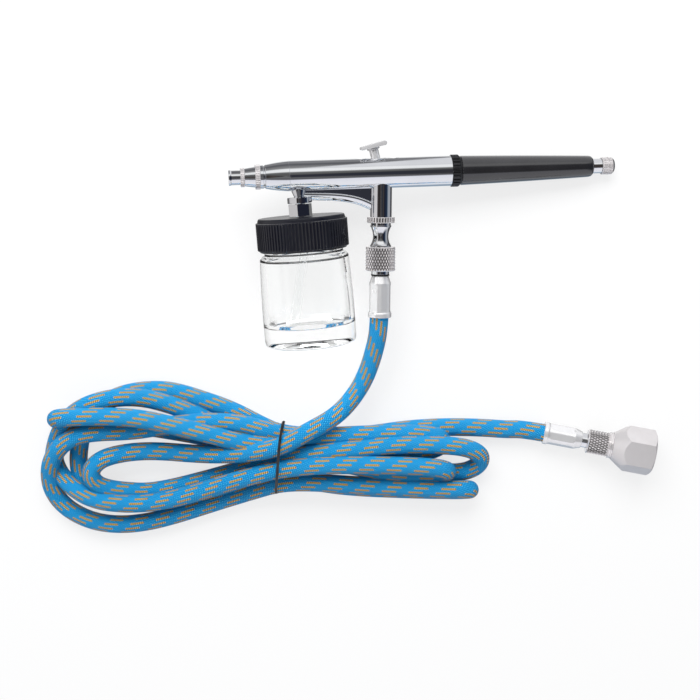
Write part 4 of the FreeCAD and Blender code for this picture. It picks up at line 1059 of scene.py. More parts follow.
    def curve_line(self) -> Array:
        """The hose's centre line: one clamped NURBS spline of order 3 through its route, as points in mm.

        Returns:
            The points.
        """
        curve = bpy.data.curves.new("hose_route", "CURVE")
        curve.dimensions = "3D"
        spline = curve.splines.new("NURBS")
        route = np.array((*self.lead, *self.hank, *self.tail), float) * MM
        spline.points.add(len(route) - 1)
        spline.points.foreach_set("co", np.c_[route, np.ones(len(route))].ravel())
        spline.order_u = 3
        spline.use_endpoint_u = True
        spline.resolution_u = 6
        holder = bpy.data.objects.new("hose_route", curve)
        mesh = bpy.data.meshes.new_from_object(holder)
        line = np.empty(len(mesh.vertices) * 3)
        mesh.vertices.foreach_get("co", line)
        bpy.data.objects.remove(holder)
        bpy.data.meshes.remove(mesh)
        return line.reshape(-1, 3) / MM

    def build(self, fittings: Sequence[Piece]) -> None:
        """Makes the hose and its tie.

        Args:
            fittings: the pieces on the hose's far end; not used.
        """
        line = self.curve_line()
        hose, along = tube("air_hose", line, circle(self.radius, self.sides))
        self.add_map(hose, along)
        stand_in(hose, Finish.BRAID, "gun", "hose_lead", "hose_hank", "hose_tail")
        tuple(VALVE.on_axis(Valve.ferrule_end) * MM)
        stand_in(self.make_tie(), Finish.TIE, "gun", "hose_tie")
        stand_in(self.make_tie_end(), Finish.TIE, "gun")

    def add_map(self, hose: Piece, along: Array) -> None:
        """Gives the hose's sides a map of metres along it and metres round it, one corner at a time.

        Each quad's corners are (i, j), (i, j + 1), (i + 1, j + 1) and (i + 1, j), so the map is the distance
        at row i or i + 1 and the share of the rim at column j or j + 1.

        Args:
            hose: the hose.
            along: millimetres along it at each ring of points.
        """
        rows = len(along)
        i, j = np.meshgrid(np.arange(rows - 1), np.arange(self.sides), indexing="ij")
        rim = 2 * math.pi * self.radius * MM / self.sides
        u = np.stack([along[i], along[i], along[i + 1], along[i + 1]], -1) * MM
        v = np.stack([j, j + 1, j + 1, j], -1) * rim
        values = np.zeros((len(hose.data.loops), 2))
        values[:u.size] = np.stack([u, v], -1).reshape(-1, 2)
        hose.data.uv_layers.new(name=self.MAP).data.foreach_set("uv", values.ravel())

    def make_tie(self) -> Piece:
        """The tie: a rounded strip carried round its loop, each section square to the loop.

        Returns:
            The piece.
        """
        loop = rounded(self.tie_loop, 1.2)
        ahead = np.roll(loop, -1, 0) - np.roll(loop, 1, 0)
        ahead /= np.hypot(ahead[:, 0], ahead[:, 1])[:, None]
        out = np.stack([ahead[:, 1], -ahead[:, 0]], 1)
        half, thick = self.tie_width / 2, self.tie_thick / 2
        section = rounded([(across * half, up * thick, self.tie_fillet)
                           for across, up in ((-1, -1), (1, -1), (1, 1), (-1, 1))])
        x = self.tie_at + self.tie_slant * (loop[:, :1] + 90) + section[None, :, 0]
        yz = loop[:, None] + section[None, :, 1:] * out[:, None]
        points = np.concatenate([x[..., None], yz], -1).reshape(-1, 3)
        return make_mesh("tie_strip", points, [grid_faces(len(loop), len(section), True)[:, ::-1]])

    def make_tie_end(self) -> Piece:
        """The tie's twisted free end: a thin bar that curls away over the hank's edge.

        Returns:
            The piece.
        """
        t = np.linspace(0, 1, 26)
        curl = 0.55 * np.sin(10 * t)
        path = np.stack([self.tie_at + 1.1 + 1.5 * t, -78.0 + 6.4 * t, 23.4 - 3.2 * t * t + curl], 1)
        return tube("tie_end", path, circle(0.5, 10))[0]


@dataclass
class FarFitting:
    """Ferrule, knurled sleeve and swivel nut on the hose's far end; stations run from the hose's side."""

    nut_across: float = 17.0
    nut_from: float = 28.65
    end: float = 45.8

    def build(self) -> list[Piece]:
        """Makes the pieces and returns those that ride on the hose."""
        return [self.make_ferrule(), self.make_sleeve(), self.make_nut(),
                *dress_nodes(far_nipple=Finish.CHROME_TRIM, far_washer=Finish.RUBBER)]

    def make_ferrule(self) -> Piece:
        """The crimped ferrule with its flared lip over the hose.

        Returns:
            The piece.
        """
        outline = [(0, 3.8), (0, 4.65, 0.3), (1.6, 4.65, 0.25), (2.2, 4.35, 0.25), (12.95, 4.35, 0.5),
                   (15.9, 3.4, 0.3), (15.9, 2.15), (13.0, 2.15), (13.0, 3.8)]
        piece = turned("far_ferrule_shell", FAR, outline, 96, flats(6, 8.24, 2.8, 12.2, 0.8), 0.4)
        return stand_in(piece, Finish.CRIMP, "gun", "far_ferrule")

    def make_sleeve(self) -> Piece:
        """The diamond-knurled sleeve with its thin double flange.

        Returns:
            The piece.
        """
        outline = [(18.2, 3.05), (18.2, 4.7, 0.1), (18.6, 5.1, 0.15), (26.5, 5.1, 0.12), (26.9, 4.75),
                   (27.2, 4.75), (27.2, 5.4, 0.1), (27.75, 5.4, 0.1), (27.8, 5.1), (28.0, 5.1),
                   (28.05, 5.4, 0.1), (28.6, 5.4, 0.1), (28.6, 2.55), (20.25, 2.55), (20.25, 3.05)]
        knurl = diamonds(27, 0.55, 2.3, 18.8, 26.4, 4.9)
        piece = turned("far_sleeve_knurled", FAR, outline, 27 * 10, knurl, 0.11)
        return stand_in(piece, Finish.KNURL, "far_sleeve", "far_sleeve")

    def make_nut(self) -> Piece:
        """The swivel nut: the smaller of a hexagonal bar and a turned cone with an end chamfer.

        Returns:
            The piece.
        """
        end, corner = self.end, self.nut_across / 2 / math.cos(math.pi / 6)
        outline = [(self.nut_from, 2.55), (self.nut_from, 5.5, 0.15), (35.0, corner + 0.1, 0.2),
                   (end - 1.0, corner + 0.1, 0.2), (end, 8.15, 0.15), (end, 6.95), (end - 0.4, 6.58),
                   (end - 8.45, 6.58), (end - 8.45, 5.7), (end - 9.5, 5.7), (end - 9.5, 4.6), (30.95, 4.6),
                   (30.95, 2.55)]
        hexagon = flats(6, self.nut_across, self.nut_from - 1, self.end + 1, floor=6.7)
        piece = turned("far_nut_hexagon", FAR, outline, 6 * 40, hexagon, 0.16, 20.0)
        return stand_in(piece, Finish.NICKEL, "far_nut", "far_nut")


def dress_nodes(**finishes: Finish) -> list[Piece]:
    """Gives CAD nodes their finish and smooth shading, with their loose triangles joined by a Weld modifier.

    Args:
        finishes: each node's finish, under the node's name.

    Returns:
        The nodes.
    """
    nodes = [bpy.data.objects[name] for name in finishes]
    for node, finish in zip(nodes, finishes.values()):
        node.data.materials.clear()
        node.data.materials.append(finish.material())
        node.data.shade_smooth()
        node.modifiers.new("join", "WELD").merge_threshold = 2e-6
        node.modifiers.new("edges", "EDGE_SPLIT").split_angle = math.radians(SHARP)
    return nodes


# ---------------------------------------------------------------- the gun

@dataclass
class Barrel:
    """Needle cap, nozzle cap, head and barrel body; stations run from the needle cap's tip."""

    radius: float = 5.95
    body_at: float = 23.55
    body_end: float = 87.65
    slot: tuple[float, float] = (50.0, 67.1)
    slot_half: float = 2.0
    slot_top: float = 7.0
    web_half: float = 0.55
    arm_wide: float = 1.82
    arm_thick: float = 0.95
    arm_lean: float = 40.0

    def build(self) -> None:
        """Makes the front pieces, the body and the pieces inside it."""
        needle_cap = stand_in(self.make_needle_cap(), Finish.CHROME_TRIM, "gun", "needle_cap")
        trim(needle_cap, Finish.KNURL, GUN, 4.5, 6.2, 3.0)
        nozzle_cap = stand_in(self.make_nozzle_cap(), Finish.CHROME_TRIM, "gun", "nozzle_cap")
        trim(nozzle_cap, Finish.KNURL, GUN, 10.2, 12.3, 4.2)
        stand_in(self.make_head(), Finish.CHROME, "gun", "head")
        stand_in(self.make_body(), Finish.CHROME, "gun", "barrel_body")
        dress_nodes(fluid_nozzle=Finish.BRASS, needle=Finish.STEEL, needle_packing=Finish.PTFE,
                    packing_screw=Finish.BRASS, needle_chuck=Finish.BRASS, spring_guide=Finish.BRASS,
                    chuck_nut=Finish.CHROME_TRIM, head_seal=Finish.PTFE)
        spring("needle_spring", GUN, (65.5, 79.05), 2.6, 0.7, 4)

    def make_needle_cap(self) -> Piece:
        """The needle cap with its flared lip, its knurled ring and the notches across its mouth.

        Returns:
            The piece.
        """
        outline = [(0, 2.6), (0, 3.05, 0.2), (0.5, 3.05, 0.3), (1.1, 2.85, 0.3), (4.55, 2.85),
                   (4.55, 3.75, 0.15), (6.14, 3.75, 0.15), (6.14, 2.6), (7.74, 2.6), (7.74, 1.7),
                   (3.2, 1.7)]
        return turned("needle_cap_shell", GUN, outline, 36 * 6, flutes(36, 0.28, 4.75, 5.95, 3.3, 0.6), 0.3)

    def make_nozzle_cap(self) -> Piece:
        """The coned nozzle cap with its knurled ring.

        Returns:
            The piece.
        """
        outline = [(6.14, 2.65), (6.14, 3.45, 0.15), (10.3, 4.05), (10.3, 4.85, 0.15), (12.24, 4.85, 0.15),
                   (12.24, 3.25), (9.19, 3.25), (8.59, 1.05), (7.84, 1.05), (7.79, 2.65)]
        return turned("nozzle_cap_shell", GUN, outline, 40 * 6, flutes(40, 0.3, 10.5, 12.05, 4.4, 0.55), 0.3)

    def make_head(self) -> Piece:
        """The head, which swells from the nozzle ring to the barrel behind a fine groove.

        Returns:
            The piece.
        """
        swell = bowed((14.35, 4.72), (self.body_at - 0.12, self.radius), 0.16)
        outline = [(10.04, 1.25), (10.04, 3.2), (12.24, 3.2), (12.24, 4.5, 0.1), (13.4, 4.6, 0.1),
                   (13.6, 4.36, 0.05), (14.0, 4.36, 0.05), *swell, (self.body_at, self.radius - 0.1),
                   (self.body_at, 4.2), (25.15, 4.2), (25.15, 1.0), (13.04, 1.0), (13.04, 1.25)]
        return turned("head_shell", GUN, outline, 128)

    def arm_section(self) -> Array:
        """The arm's oval section, whose flat side leans away from the barrel.

        Returns:
            The section's points.
        """
        lean = math.radians(self.arm_lean)
        oval = circle(1.0, 36) * (self.arm_wide, self.arm_thick)
        return oval @ np.array(((-math.sin(lean), math.cos(lean)), (-math.cos(lean), -math.sin(lean))))

    def arm_line(self) -> Array:
        """The arm's centre line: a quadratic spline whose pieces join at the middles of its runs.

        Returns:
            The line's points.
        """
        start, end = GUN.local(SIPHON.on_axis(8.0)), GUN.local(VALVE.on_axis(14.9))
        route = np.array([start + (0.6, 0, 0), (35.2, 0, -8.4), (41.7, 0, -8.75), (48.3, 0, -9.8),
                          (53.5, 0, -11.6), end])
        joints = (route[1:] + route[:-1]) / 2
        joints = np.concatenate([route[:1], joints[1:-1], route[-1:]])
        t = np.linspace(0, 1, 14, endpoint=False)[None, :, None]
        a, b, c = joints[:-1, None], route[1:-1, None], joints[1:, None]
        line = ((1 - t) ** 2 * a + 2 * t * (1 - t) * b + t ** 2 * c).reshape(-1, 3)
        return GUN.mm(np.concatenate([line, route[-1:]]))

    def make_body(self) -> Piece:
        """The barrel joined to its valve post, siphon socket, arm and web, then bored and slotted.

        Returns:
            The piece.
        """
        at, end, r = self.body_at, self.body_end, self.radius
        body = turned("barrel_shell", GUN, [(at, 0), (at, r - 0.12), (at + 0.12, r), (end - 0.1, r),
                                            (end, r - 0.1), (end, 0)], 144)
        post = turned("post", VALVE, [(0, 0), (0, 4.28), (17.1, 4.28), (17.2, 4.18), (17.2, 0)], 96)
        collar = flats(8, 9.3, 8.2, 10.8, turn=11.0)
        socket = turned("socket", SIPHON, [(0, 0), (0, 2.9), (6.0, 2.9), (8.1, 2.1), (8.35, 2.1), (8.35, 4.7),
                                           (8.5, 4.85), (10.5, 4.85), (10.65, 4.7), (10.65, 0)], 72, collar)
        arm = tube("arm", self.arm_line(), self.arm_section(), GUN.axes[1])[0]
        web = slab("web", GUN, [(28.5, -4.5), (28.5, -8.2), (35.2, -8.2), (48.3, -9.4), (57.5, -13.2),
                                (57.5, -4.5)], self.web_half)
        half, top = self.slot_half, self.slot_top
        front, back = self.slot[0] + half, self.slot[1] - half
        slot = slab("slot", GUN, [(front, 0), (back, 0), (back, top), (front, top)], half)
        peg = [(0, 0), (0, half), (top, half), (top, 0)]
        ends = [turned("slot_end", GUN.child((x, 0.0, 0.0), -90.0), peg, 48) for x in (front, back)]
        bore = turned("bore", GUN, [(at - 1, 0), (at - 1, 4.25), (25.85, 4.25), (25.85, 1.0), (36, 1.0),
                                    (36, 2.55), (46, 2.55), (46, 4.3), (end + 1, 4.3), (end + 1, 0)], 96)
        valve_bore = turned("valve_bore", VALVE, [(0, 0), (0, 2.3), (7.5, 2.3), (7.5, 3.0), (18.2, 3.0),
                                                  (18.2, 0)], 64)
        stem_bore = turned("stem_bore", SIPHON, [(0, 0), (0, 0.8), (7.7, 0.8), (7.7, 1.55), (11.65, 1.55),
                                                 (11.65, 0)], 48)
        carve(body, [(tool, Join.ADD) for tool in (post, socket, arm, web)]
              + [(tool, Join.TAKE) for tool in (bore, slot, *ends, valve_bore, stem_bore)])
        return body


@dataclass
class Tail:
    """Fluted ring, handle, bush, preset knob and its rod behind the barrel."""

    ring_at: float = 87.65
    ring_end: float = 91.0
    handle_at: float = 91.48
    handle_end: float = 145.48
    bush_end: float = 149.21
    knob_end: float = 154.26

    def build(self) -> None:
        """Makes the pieces of the tail."""
        stand_in(self.make_ring(), Finish.ANODISED, "gun", "handle_ring")
        stand_in(self.make_handle(), Finish.HANDLE, "gun", "handle")
        stand_in(self.make_bush(), Finish.CHROME_TRIM, "gun", "tail_bush")
        knob = stand_in(self.make_knob(), Finish.CHROME_TRIM, "tail_knob", "tail_knob")
        trim(knob, Finish.KNURL, GUN, self.bush_end, self.knob_end - 0.9, 2.9)
        dress_nodes(stop_rod=Finish.STEEL)

    def make_ring(self) -> Piece:
        """The black ring with wide flutes and a chamfer towards the handle.

        Returns:
            The piece.
        """
        at, end = self.ring_at, self.ring_end
        outline = [(at, 4.26), (at, 6.1, 0.1), (at + 0.22, 6.33, 0.1), (end - 0.5, 6.33, 0.1),
                   (end, 5.9, 0.1), (end, 5.4), (self.handle_at, 5.4), (self.handle_at, 4.26)]
        return turned("handle_ring_fluted", GUN, outline, 27 * 10,
                      flutes(27, 0.42, at + 0.1, end - 0.3, 5.6, 0.62), 0.3)

    def make_handle(self) -> Piece:
        """The tapered handle, a shallow bow from the ring to its rounded end.

        Returns:
            The piece.
        """
        at, end = self.handle_at, self.handle_end
        side = bowed((at + 0.3, 5.82), (end - 1.7, 4.25), 0.1, 24)
        outline = [(82.45, 3.2), (82.45, 4.2), (at, 4.2), (at, 5.55), *side, (end - 0.75, 4.05, 0.4),
                   (end - 0.2, 3.55, 0.3), (end, 3.3, 0.1), (end, 2.45), (128, 2.45), (128, 3.2)]
        return turned("handle_shell", GUN, outline, 128)

    def make_bush(self) -> Piece:
        """The chrome bush between the handle and the knob.

        Returns:
            The piece.
        """
        at, end = self.handle_end, self.bush_end
        return turned("tail_bush_shell", GUN, [(133.98, 1.25), (133.98, 2.4), (at, 2.4), (at, 2.9, 0.1),
                                               (end, 2.9, 0.15), (end, 1.25)], 96)

    def make_knob(self) -> Piece:
        """The preset knob: two knurled rows with a groove between them and a chamfered end.

        Returns:
            The piece.
        """
        at, end = self.bush_end + 0.05, self.knob_end
        outline = [(end - 1.15, 0), (end - 1.15, 1.25), (at, 1.25), (at, 3.2, 0.1), (at + 0.28, 3.48, 0.1),
                   (at + 2.1, 3.48, 0.1), (at + 2.1, 3.1), (at + 2.5, 3.1), (at + 2.5, 3.48, 0.1),
                   (end - 0.9, 3.48, 0.2), (end, 2.6, 0.2), (end, 0)]
        rows = [flutes(30, 0.3, *run, 3.3, 0.6) for run in ((at + 0.3, at + 1.9), (at + 2.7, end - 1.0))]
        return turned("tail_knob_knurled", GUN, outline, 30 * 6, both(*rows), 0.2)


@dataclass
class Trigger:
    """The finger trigger and the lever behind it."""

    stem: float = 1.8
    ball: float = 1.4
    top: float = 14.1
    front: float = -4.1
    back: float = 4.45
    lift: float = 0.1
    front_bead: float = 0.85
    back_bead: float = 1.0
    pad_half: float = 3.2

    def build(self) -> None:
        """Makes the trigger and dresses the lever."""
        body = slab("trigger_shell", TRIGGER, self.pad_outline(), self.pad_half, 0.2, 40)
        angle = np.linspace(-math.pi / 2, math.asin(0.6 / self.ball) - 0.02, 12)
        ball = [(self.ball * math.sin(a), self.ball * math.cos(a)) for a in angle[1:]]
        upright = TRIGGER.child((0.0, 0.0, 0.0), -90.0)
        stem = turned("stem", upright, [(-self.ball, 0), *ball, (0.6, self.stem), (self.top - 1.3, self.stem),
                                        (self.top - 1.2, self.stem + 0.6), (self.top - 0.7, self.stem + 0.7),
                                        (self.top + 0.1, self.stem + 0.7), (self.top + 0.1, 0)], 64)
        slot = slab("needle_slot", TRIGGER, [(-3, 1.2), (3, 1.2), (3, 6.8), (-3, 6.8)], 0.85)
        carve(body, [(stem, Join.ADD), (slot, Join.TAKE)], 35)
        stand_in(body, Finish.CRIMP, "trigger", "trigger")
        dress_nodes(back_lever=Finish.CHROME_TRIM)

    def pad_outline(self) -> list[tuple[float, float]]:
        """The pad's edge: a thin tilted plate with a bead under its front end and one over its back end.

        Returns:
            The edge's points.
        """
        def arc(x: float, z: float, radius: float, start: float, end: float) -> list[tuple[float, float]]:
            """Points (x, z) along an arc, its two angles in degrees."""
            turn = np.radians(np.linspace(start, end, 16))
            return list(zip(x + radius * np.cos(turn), z + radius * np.sin(turn)))
        low = self.top + 0.3
        return [*arc(self.front, low, self.front_bead, 100, 300),
                *arc(self.back, low + self.lift, self.back_bead, -80, 100)]


@dataclass
class Valve:
    """The air valve below the trigger and the hose's near connection; stations run down from the barrel."""

    nut_at: float = 28.96
    nut_end: float = 38.51
    ferrule_at: float = 40.56
    ferrule_end: float = 57.26

    def build(self) -> None:
        """Makes the casing, nut, nipple, seal and ferrule, and dresses the pieces inside."""
        casing = stand_in(self.make_casing(), Finish.CHROME_TRIM, "gun", "valve_casing")
        trim(casing, Finish.KNURL, VALVE, 17.1, 19.6, 4.3)
        stand_in(self.make_nut(), Finish.KNURL, "hose_nut", "hose_nut")
        stand_in(self.make_nipple(), Finish.CHROME_TRIM, "gun", "hose_nipple")
        stand_in(self.make_seal(), Finish.RUBBER, "gun", "hose_seal")
        stand_in(self.make_ferrule(), Finish.CRIMP, "gun", "hose_ferrule")
        dress_nodes(valve_plunger=Finish.BRASS, valve_seal=Finish.RUBBER, valve_screw=Finish.BRASS)
        spring("valve_spring", VALVE, (11.0, 18.5), 1.25, 0.4, 7)

    def make_casing(self) -> Piece:
        """The casing with its slotted collar, groove and concave waist.

        Returns:
            The piece.
        """
        waist = bowed((20.95, 4.2), (24.9, 3.05), -0.28) + bowed((24.9, 3.05), (28.5, 4.2), -0.28)[1:]
        outline = [(7.5, 0.95), (7.5, 2.95), (17.2, 2.95), (17.2, 5.5, 0.15), (19.5, 5.5, 0.15),
                   (19.5, 4.0), (20.45, 4.0), (20.5, 4.2, 0.05), *waist, (28.9, 4.2, 0.1), (28.9, 3.3),
                   (36.11, 3.3), (36.11, 1.2), (23.0, 1.2), (23.0, 2.0), (9.0, 2.0), (9.0, 0.95)]
        collar = slots(30, 0.85, 17.5, 19.2, 5.0, 0.5)
        return turned("valve_casing_shell", VALVE, outline, 30 * 8, collar, 0.35)

    def make_nut(self) -> Piece:
        """The satin hose nut with its diamond knurling between plain rims.

        Returns:
            The piece.
        """
        at, end = self.nut_at, self.nut_end
        outline = [(at, 3.4), (at, 5.65, 0.1), (at + 0.35, 6.0, 0.1), (end - 0.35, 6.0, 0.1),
                   (end, 5.65, 0.1), (end, 2.55), (end - 1.5, 2.55), (end - 1.5, 3.4)]
        knurl = diamonds(31, 0.6, 2.3, at + 0.45, end - 0.45, 5)
        return turned("hose_nut_knurled", VALVE, outline, 31 * 10, knurl, 0.11)

    def make_nipple(self) -> Piece:
        """The nipple's short neck below the nut, and its barb inside the hose.

        Returns:
            The piece.
        """
        end = self.nut_end
        outline = [(36.16, 1.2), (36.16, 3.25), (36.96, 3.25), (36.96, 2.5), (end + 0.05, 2.5),
                   (end + 0.05, 3.55, 0.15), (end + 1.45, 3.55, 0.15), (end + 1.45, 2.1), (43.56, 2.1),
                   (43.56, 1.2)]
        return turned("hose_nipple_shell", VALVE, outline, 96)

    def make_seal(self) -> Piece:
        """The dark O-ring between the neck and the ferrule.

        Returns:
            The piece.
        """
        at = self.nut_end + 1.45
        outline = [(at, 2.15), (at, 3.7, 0.28), (at + 0.6, 3.7, 0.28), (at + 0.6, 2.15)]
        return turned("hose_seal_ring", VALVE, outline, 96)

    def make_ferrule(self) -> Piece:
        """The crimped ferrule: a coned shoulder, six long flats and a flared lip.

        Returns:
            The piece.
        """
        at, end = self.ferrule_at, self.ferrule_end
        outline = [(at, 2.15), (at, 3.3, 0.3), (at + 2.95, 4.35, 0.5), (end - 2.2, 4.35, 0.3),
                   (end - 1.6, 4.65, 0.25), (end, 4.65, 0.3), (end, 3.8), (at + 3.7, 3.8), (at + 3.7, 2.15)]
        return turned("hose_ferrule_shell", VALVE, outline, 96, flats(6, 8.24, 44.6, 54.6, 0.8, 12.0), 0.4)


@dataclass
class Siphon:
    """Siphon stem and nut, dip tube, ribbed lid and glass jar; stations run down from the barrel's axis."""

    lid_at: float = 15.75
    lid_radius: float = 18.1
    ribs: int = 84
    ribs_end: float = 28.2
    lid_end: float = 28.9
    jar_top: float = 19.0
    jar_end: float = 66.7

    def build(self) -> None:
        """Makes the nut, lid and jar, and dresses the stem, gasket and dip tube."""
        stand_in(self.make_nut(), Finish.CHROME_TRIM, "siphon", "siphon_nut")
        stand_in(self.make_lid(), Finish.LID, "siphon", "jar_lid").visible_glossy = False
        stand_in(self.make_jar(), Finish.GLASS, "jar", "jar")
        stand_in(self.make_gasket(), Finish.PTFE, "siphon", "lid_gasket").visible_glossy = False
        dress_nodes(siphon_stem=Finish.CHROME_TRIM, dip_tube=Finish.CLEAR)

    def make_nut(self) -> Piece:
        """The hexagonal nut on the lid, with chamfered corners.

        Returns:
            The piece.
        """
        outline = [(10.95, 1.95), (10.95, 4.4), (11.15, 4.78, 0.1), (15.5, 4.78, 0.1), (15.65, 4.6),
                   (15.65, 1.95)]
        hexagon = flats(6, 8.2, 10.0, 15.7, turn=18.0, floor=4.0)
        return turned("siphon_nut_hexagon", SIPHON, outline, 6 * 20, hexagon, 0.25, 24)

    def make_gasket(self) -> Piece:
        """The flat gasket between the lid and the jar's mouth."""
        outline = [(17.95, 2.3), (17.95, 15.6, 0.1), (18.95, 15.6, 0.1), (18.95, 2.3)]
        return turned("lid_gasket_disc", SIPHON, outline, 96)

    def make_lid(self) -> Piece:
        """The lid with its fine ribs, chamfered top edge and smooth skirt.

        Returns:
            The piece.
        """
        at, rim, end, r = self.lid_at, self.ribs_end, self.lid_end, self.lid_radius
        outline = [(at, 1.95), (at, 16.9, 0.3), (16.3, 17.2, 0.3), (17.35, 17.45, 0.1), (17.4, 17.95, 0.1),
                   (17.6, r, 0.12), (rim - 0.22, r, 0.12), (rim, r - 0.25, 0.1), (rim, 17.35, 0.1),
                   (end, 17.15, 0.35), (end, 15.75), (17.95, 15.75), (17.95, 1.95)]
        grip = flutes(self.ribs, 0.5, 17.7, 27.9, 17.5)
        return turned("jar_lid_ribbed", SIPHON, outline, self.ribs * 8, grip, 0.8)

    def make_jar(self) -> Piece:
        """The glass jar: an outer wall bowed a little to a wider base, a rounded inside and a thick floor.

        Returns:
            The piece.
        """
        wall = bowed((31.9, 17.6), (64.0, 18.35), 0.25, 10)
        inner = bowed((57.2, 16.15), (32.9, 15.5), -0.25, 10)
        outline = [(self.jar_top, 12.6, 0.3), (self.jar_top, 15.6, 0.4), (30.2, 15.6, 0.5),
                   (30.55, 16.5, 0.5), *wall, (66.0, 18.0, 0.6), (self.jar_end, 16.2, 1.0),
                   (self.jar_end, 0)]
        inside = [(59.3, 0), (59.3, 12.0, 0.5), (58.9, 14.6, 1.2), *inner, (30.9, 13.6, 0.8),
                  (29.8, 12.6, 0.6)]
        return turned("jar_glass", SIPHON, inside + outline, 144)


# ---------------------------------------------------------------- the studio

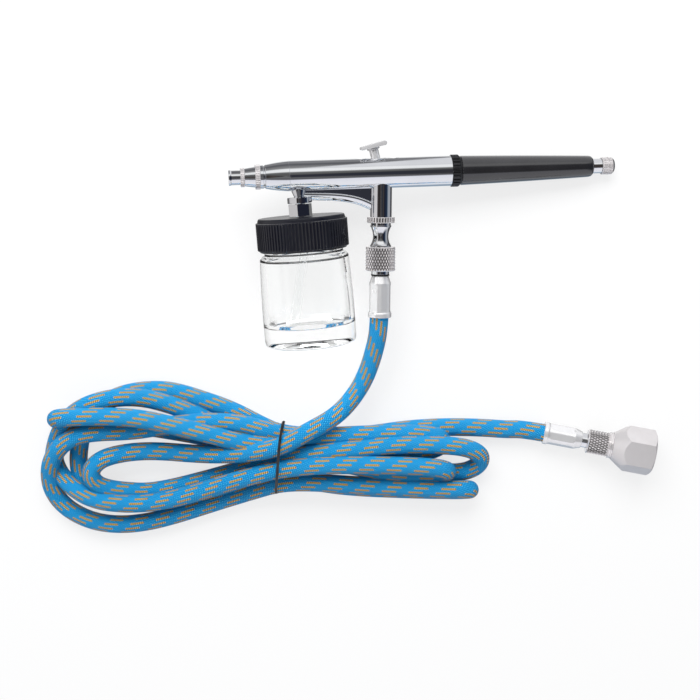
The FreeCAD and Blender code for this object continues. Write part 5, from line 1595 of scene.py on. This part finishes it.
@dataclass
class Studio:
    """A pale table, a plain room round it, a softbox and the camera above, all in metres and watts."""

    camera_at: Point = (-0.02936, 0.03771, 0.473)
    camera_tilt: float = -10.0
    lens: float = 59.14
    sensor: float = 36.0
    near: float = 0.01
    table_wide: float = 4.0
    table_colour: Colour = (0.90, 0.90, 0.90)
    table_glow: float = 0.74
    glow_through_glass: float = 0.92
    room_through_glass: float = 0.82
    fill: Colour = (0.55, 0.555, 0.57)
    # the room's grey or colour by degrees from overhead, first towards the gun's trigger, then to its tail
    fore_and_aft: Rows = (
        (-180, 0.95), (-166, 0.90, 0.93, 0.97), (-152, 0.30, 0.38, 0.46), (-122, 0.34, 0.42, 0.52),
        (-116, 0.84, 0.88, 0.95), (-70, 0.93, 0.92, 0.96), (-32, 0.86, 0.86, 0.93), (-25, 0.10, 0.10, 0.11),
        (-5, 0.17), (10, 0.10), (27, 0.16), (36, 1.0), (54, 0.95), (62, 0.30), (95, 0.11, 0.11, 0.12),
        (122, 0.28, 0.28, 0.29), (136, 0.16, 0.16, 0.17), (149, 0.90), (180, 0.95))
    side_to_side: Rows = (
        (-180, 0.6), (-152, 0.16), (-124, 0.16, 0.15, 0.15), (-112, 0.60, 0.58, 0.58),
        (-46, 0.70, 0.68, 0.68), (-38, 0.06, 0.05, 0.05), (-16, 0.02), (-9, 0.08, 0.066, 0.06),
        (-3, 0.035, 0.035, 0.042), (16, 0.032, 0.034, 0.046), (24, 0.06, 0.05, 0.045),
        (34, 0.014, 0.016, 0.028), (62, 0.018, 0.03, 0.06), (70, 0.05, 0.09, 0.14), (78, 0.34, 0.36, 0.40),
        (108, 0.40, 0.41, 0.44), (116, 0.04, 0.04, 0.05), (150, 0.10), (180, 0.6))
    # this band of the room on the trigger side, in turns, is pale behind this run towards the tail
    pale_band: tuple[float, ...] = (0.640, 0.672, 0.905, 0.935)
    pale_behind: tuple[float, float] = (0.098, 0.118)
    pale: Colour = (0.80, 0.80, 0.82)
    softbox_at: Point = (-0.15, 0.62, 0.62)
    softbox_size: tuple[float, float] = (0.8, 0.5)
    softbox_watts: float = 9.5
    aim: Point = (-0.03, -0.03, 0.0)

    def build(self) -> None:
        """Sets the camera, the table and the lights."""
        self.add_camera()
        self.add_table()
        self.add_room()
        self.add_softbox()
        bpy.context.scene.view_settings.view_transform = "Standard"

    def add_camera(self) -> None:
        """The camera looks down at the table, tilted a little from the upright."""
        data = bpy.data.cameras.new("camera")
        data.lens, data.sensor_width, data.clip_start = self.lens, self.sensor, self.near
        camera = bpy.data.objects.new("camera", data)
        camera.location = self.camera_at
        camera.rotation_euler = (math.radians(self.camera_tilt), 0, 0)
        bpy.context.scene.collection.objects.link(camera)
        bpy.context.scene.camera = camera

    def add_table(self) -> None:
        """A wide white table top under the part, lit a little from inside so that its shadows stay light."""
        low = min(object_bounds()[0][2], 0.0)
        half = self.table_wide / 2
        mesh = bpy.data.meshes.new("table_top")
        mesh.from_pydata([(-half, -half, low), (half, -half, low), (half, half, low), (-half, half, low)], [],
                         [(0, 1, 2, 3)])
        table = bpy.data.objects.new("table_top", mesh)
        bpy.context.scene.collection.objects.link(table)
        work = NodeWork("white_table")
        faint = tuple(0.985 * c for c in self.table_colour)
        work.principled(Base_Color=work.blend(work.noise(3.0), self.table_colour, faint), Roughness=0.7,
                        Specular_IOR_Level=0.1)
        path = work.add("LightPath").outputs
        seen = work.maths("MAXIMUM", path["Is Camera Ray"], path["Is Glossy Ray"])
        seen = work.maths("MULTIPLY", seen, self.table_glow)
        through = work.maths("MULTIPLY", path["Is Transmission Ray"], self.glow_through_glass)
        work.mix_in(work.maths("MAXIMUM", seen, through), work.add("Emission"))
        mesh.materials.append(work.material)
        table.visible_glossy = False
        table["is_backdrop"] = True

    def add_room(self) -> None:
        """A plain room: white behind the part, an even fill, and pale and dark panels for gloss to show."""
        world = bpy.data.worlds.new("room")
        bpy.context.scene.world = world
        work = NodeWork("room", world)
        m = work.maths
        x, y, z = (work.direction.outputs[i] for i in range(3))
        ramps = []
        for across, panels in ((y, self.fore_and_aft), (x, self.side_to_side)):
            turn = m("MULTIPLY_ADD", m("ARCTAN2", across, z), 0.5 / math.pi, 0.5)
            stops = [(at / 360 + 0.5, tuple(tint) if tint[1:] else tint[0]) for at, *tint in panels]
            ramps.append(work.ramp(turn, stops))
        band = work.ramp(m("MULTIPLY_ADD", m("ARCTAN2", y, z), 0.5 / math.pi, 0.5),
                         list(zip(self.pale_band, (0.0, 1.0, 1.0, 0.0))))
        behind = work.ramp(x, list(zip(self.pale_behind, (0.0, 1.0))))
        ramps[0] = work.blend(m("MULTIPLY", band, behind), ramps[0], self.pale)
        x2, y2 = m("MULTIPLY", x, x), m("MULTIPLY", y, y)
        share = m("DIVIDE", x2, m("ADD", m("ADD", x2, y2), 1e-4))
        sideways = work.ramp(share, [(0.4, 0.0), (0.7, 1.0)])
        gloss = work.blend(sideways, *ramps)
        path = work.add("LightPath").outputs
        light = work.blend(path["Is Diffuse Ray"], gloss, self.fill)
        clear = work.blend(self.room_through_glass, gloss, (1.0, 1.0, 1.0))
        light = work.blend(path["Is Transmission Ray"], light, clear)
        light = work.blend(path["Is Camera Ray"], light, (1.0, 1.0, 1.0))
        work.link(light, work.shader.inputs["Color"])

    def add_softbox(self) -> None:
        """An area lamp that faces the part's middle."""
        data = bpy.data.lights.new("softbox", "AREA")
        data.shape, data.energy = "RECTANGLE", self.softbox_watts
        data.size, data.size_y = self.softbox_size
        lamp = bpy.data.objects.new("softbox", data)
        towards = np.array(self.aim) - np.array(self.softbox_at)
        towards /= np.linalg.norm(towards)
        lamp.location = self.softbox_at
        lamp.rotation_euler = (math.acos(-towards[2]), 0, math.atan2(-towards[0], towards[1]))
        lamp.visible_glossy = False
        bpy.context.scene.collection.objects.link(lamp)


def main() -> None:
    """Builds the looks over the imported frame."""
    logging.basicConfig(level=logging.INFO, format="%(name)s: %(message)s")
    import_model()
    Studio().build()
    fittings = FarFitting().build()
    AirHose().build(fittings)
    for part in (Barrel(), Tail(), Trigger(), Valve(), Siphon()):
        part.build()
        LOG.info("built %s", type(part).__name__)


if __name__ == "__main__":
    main()
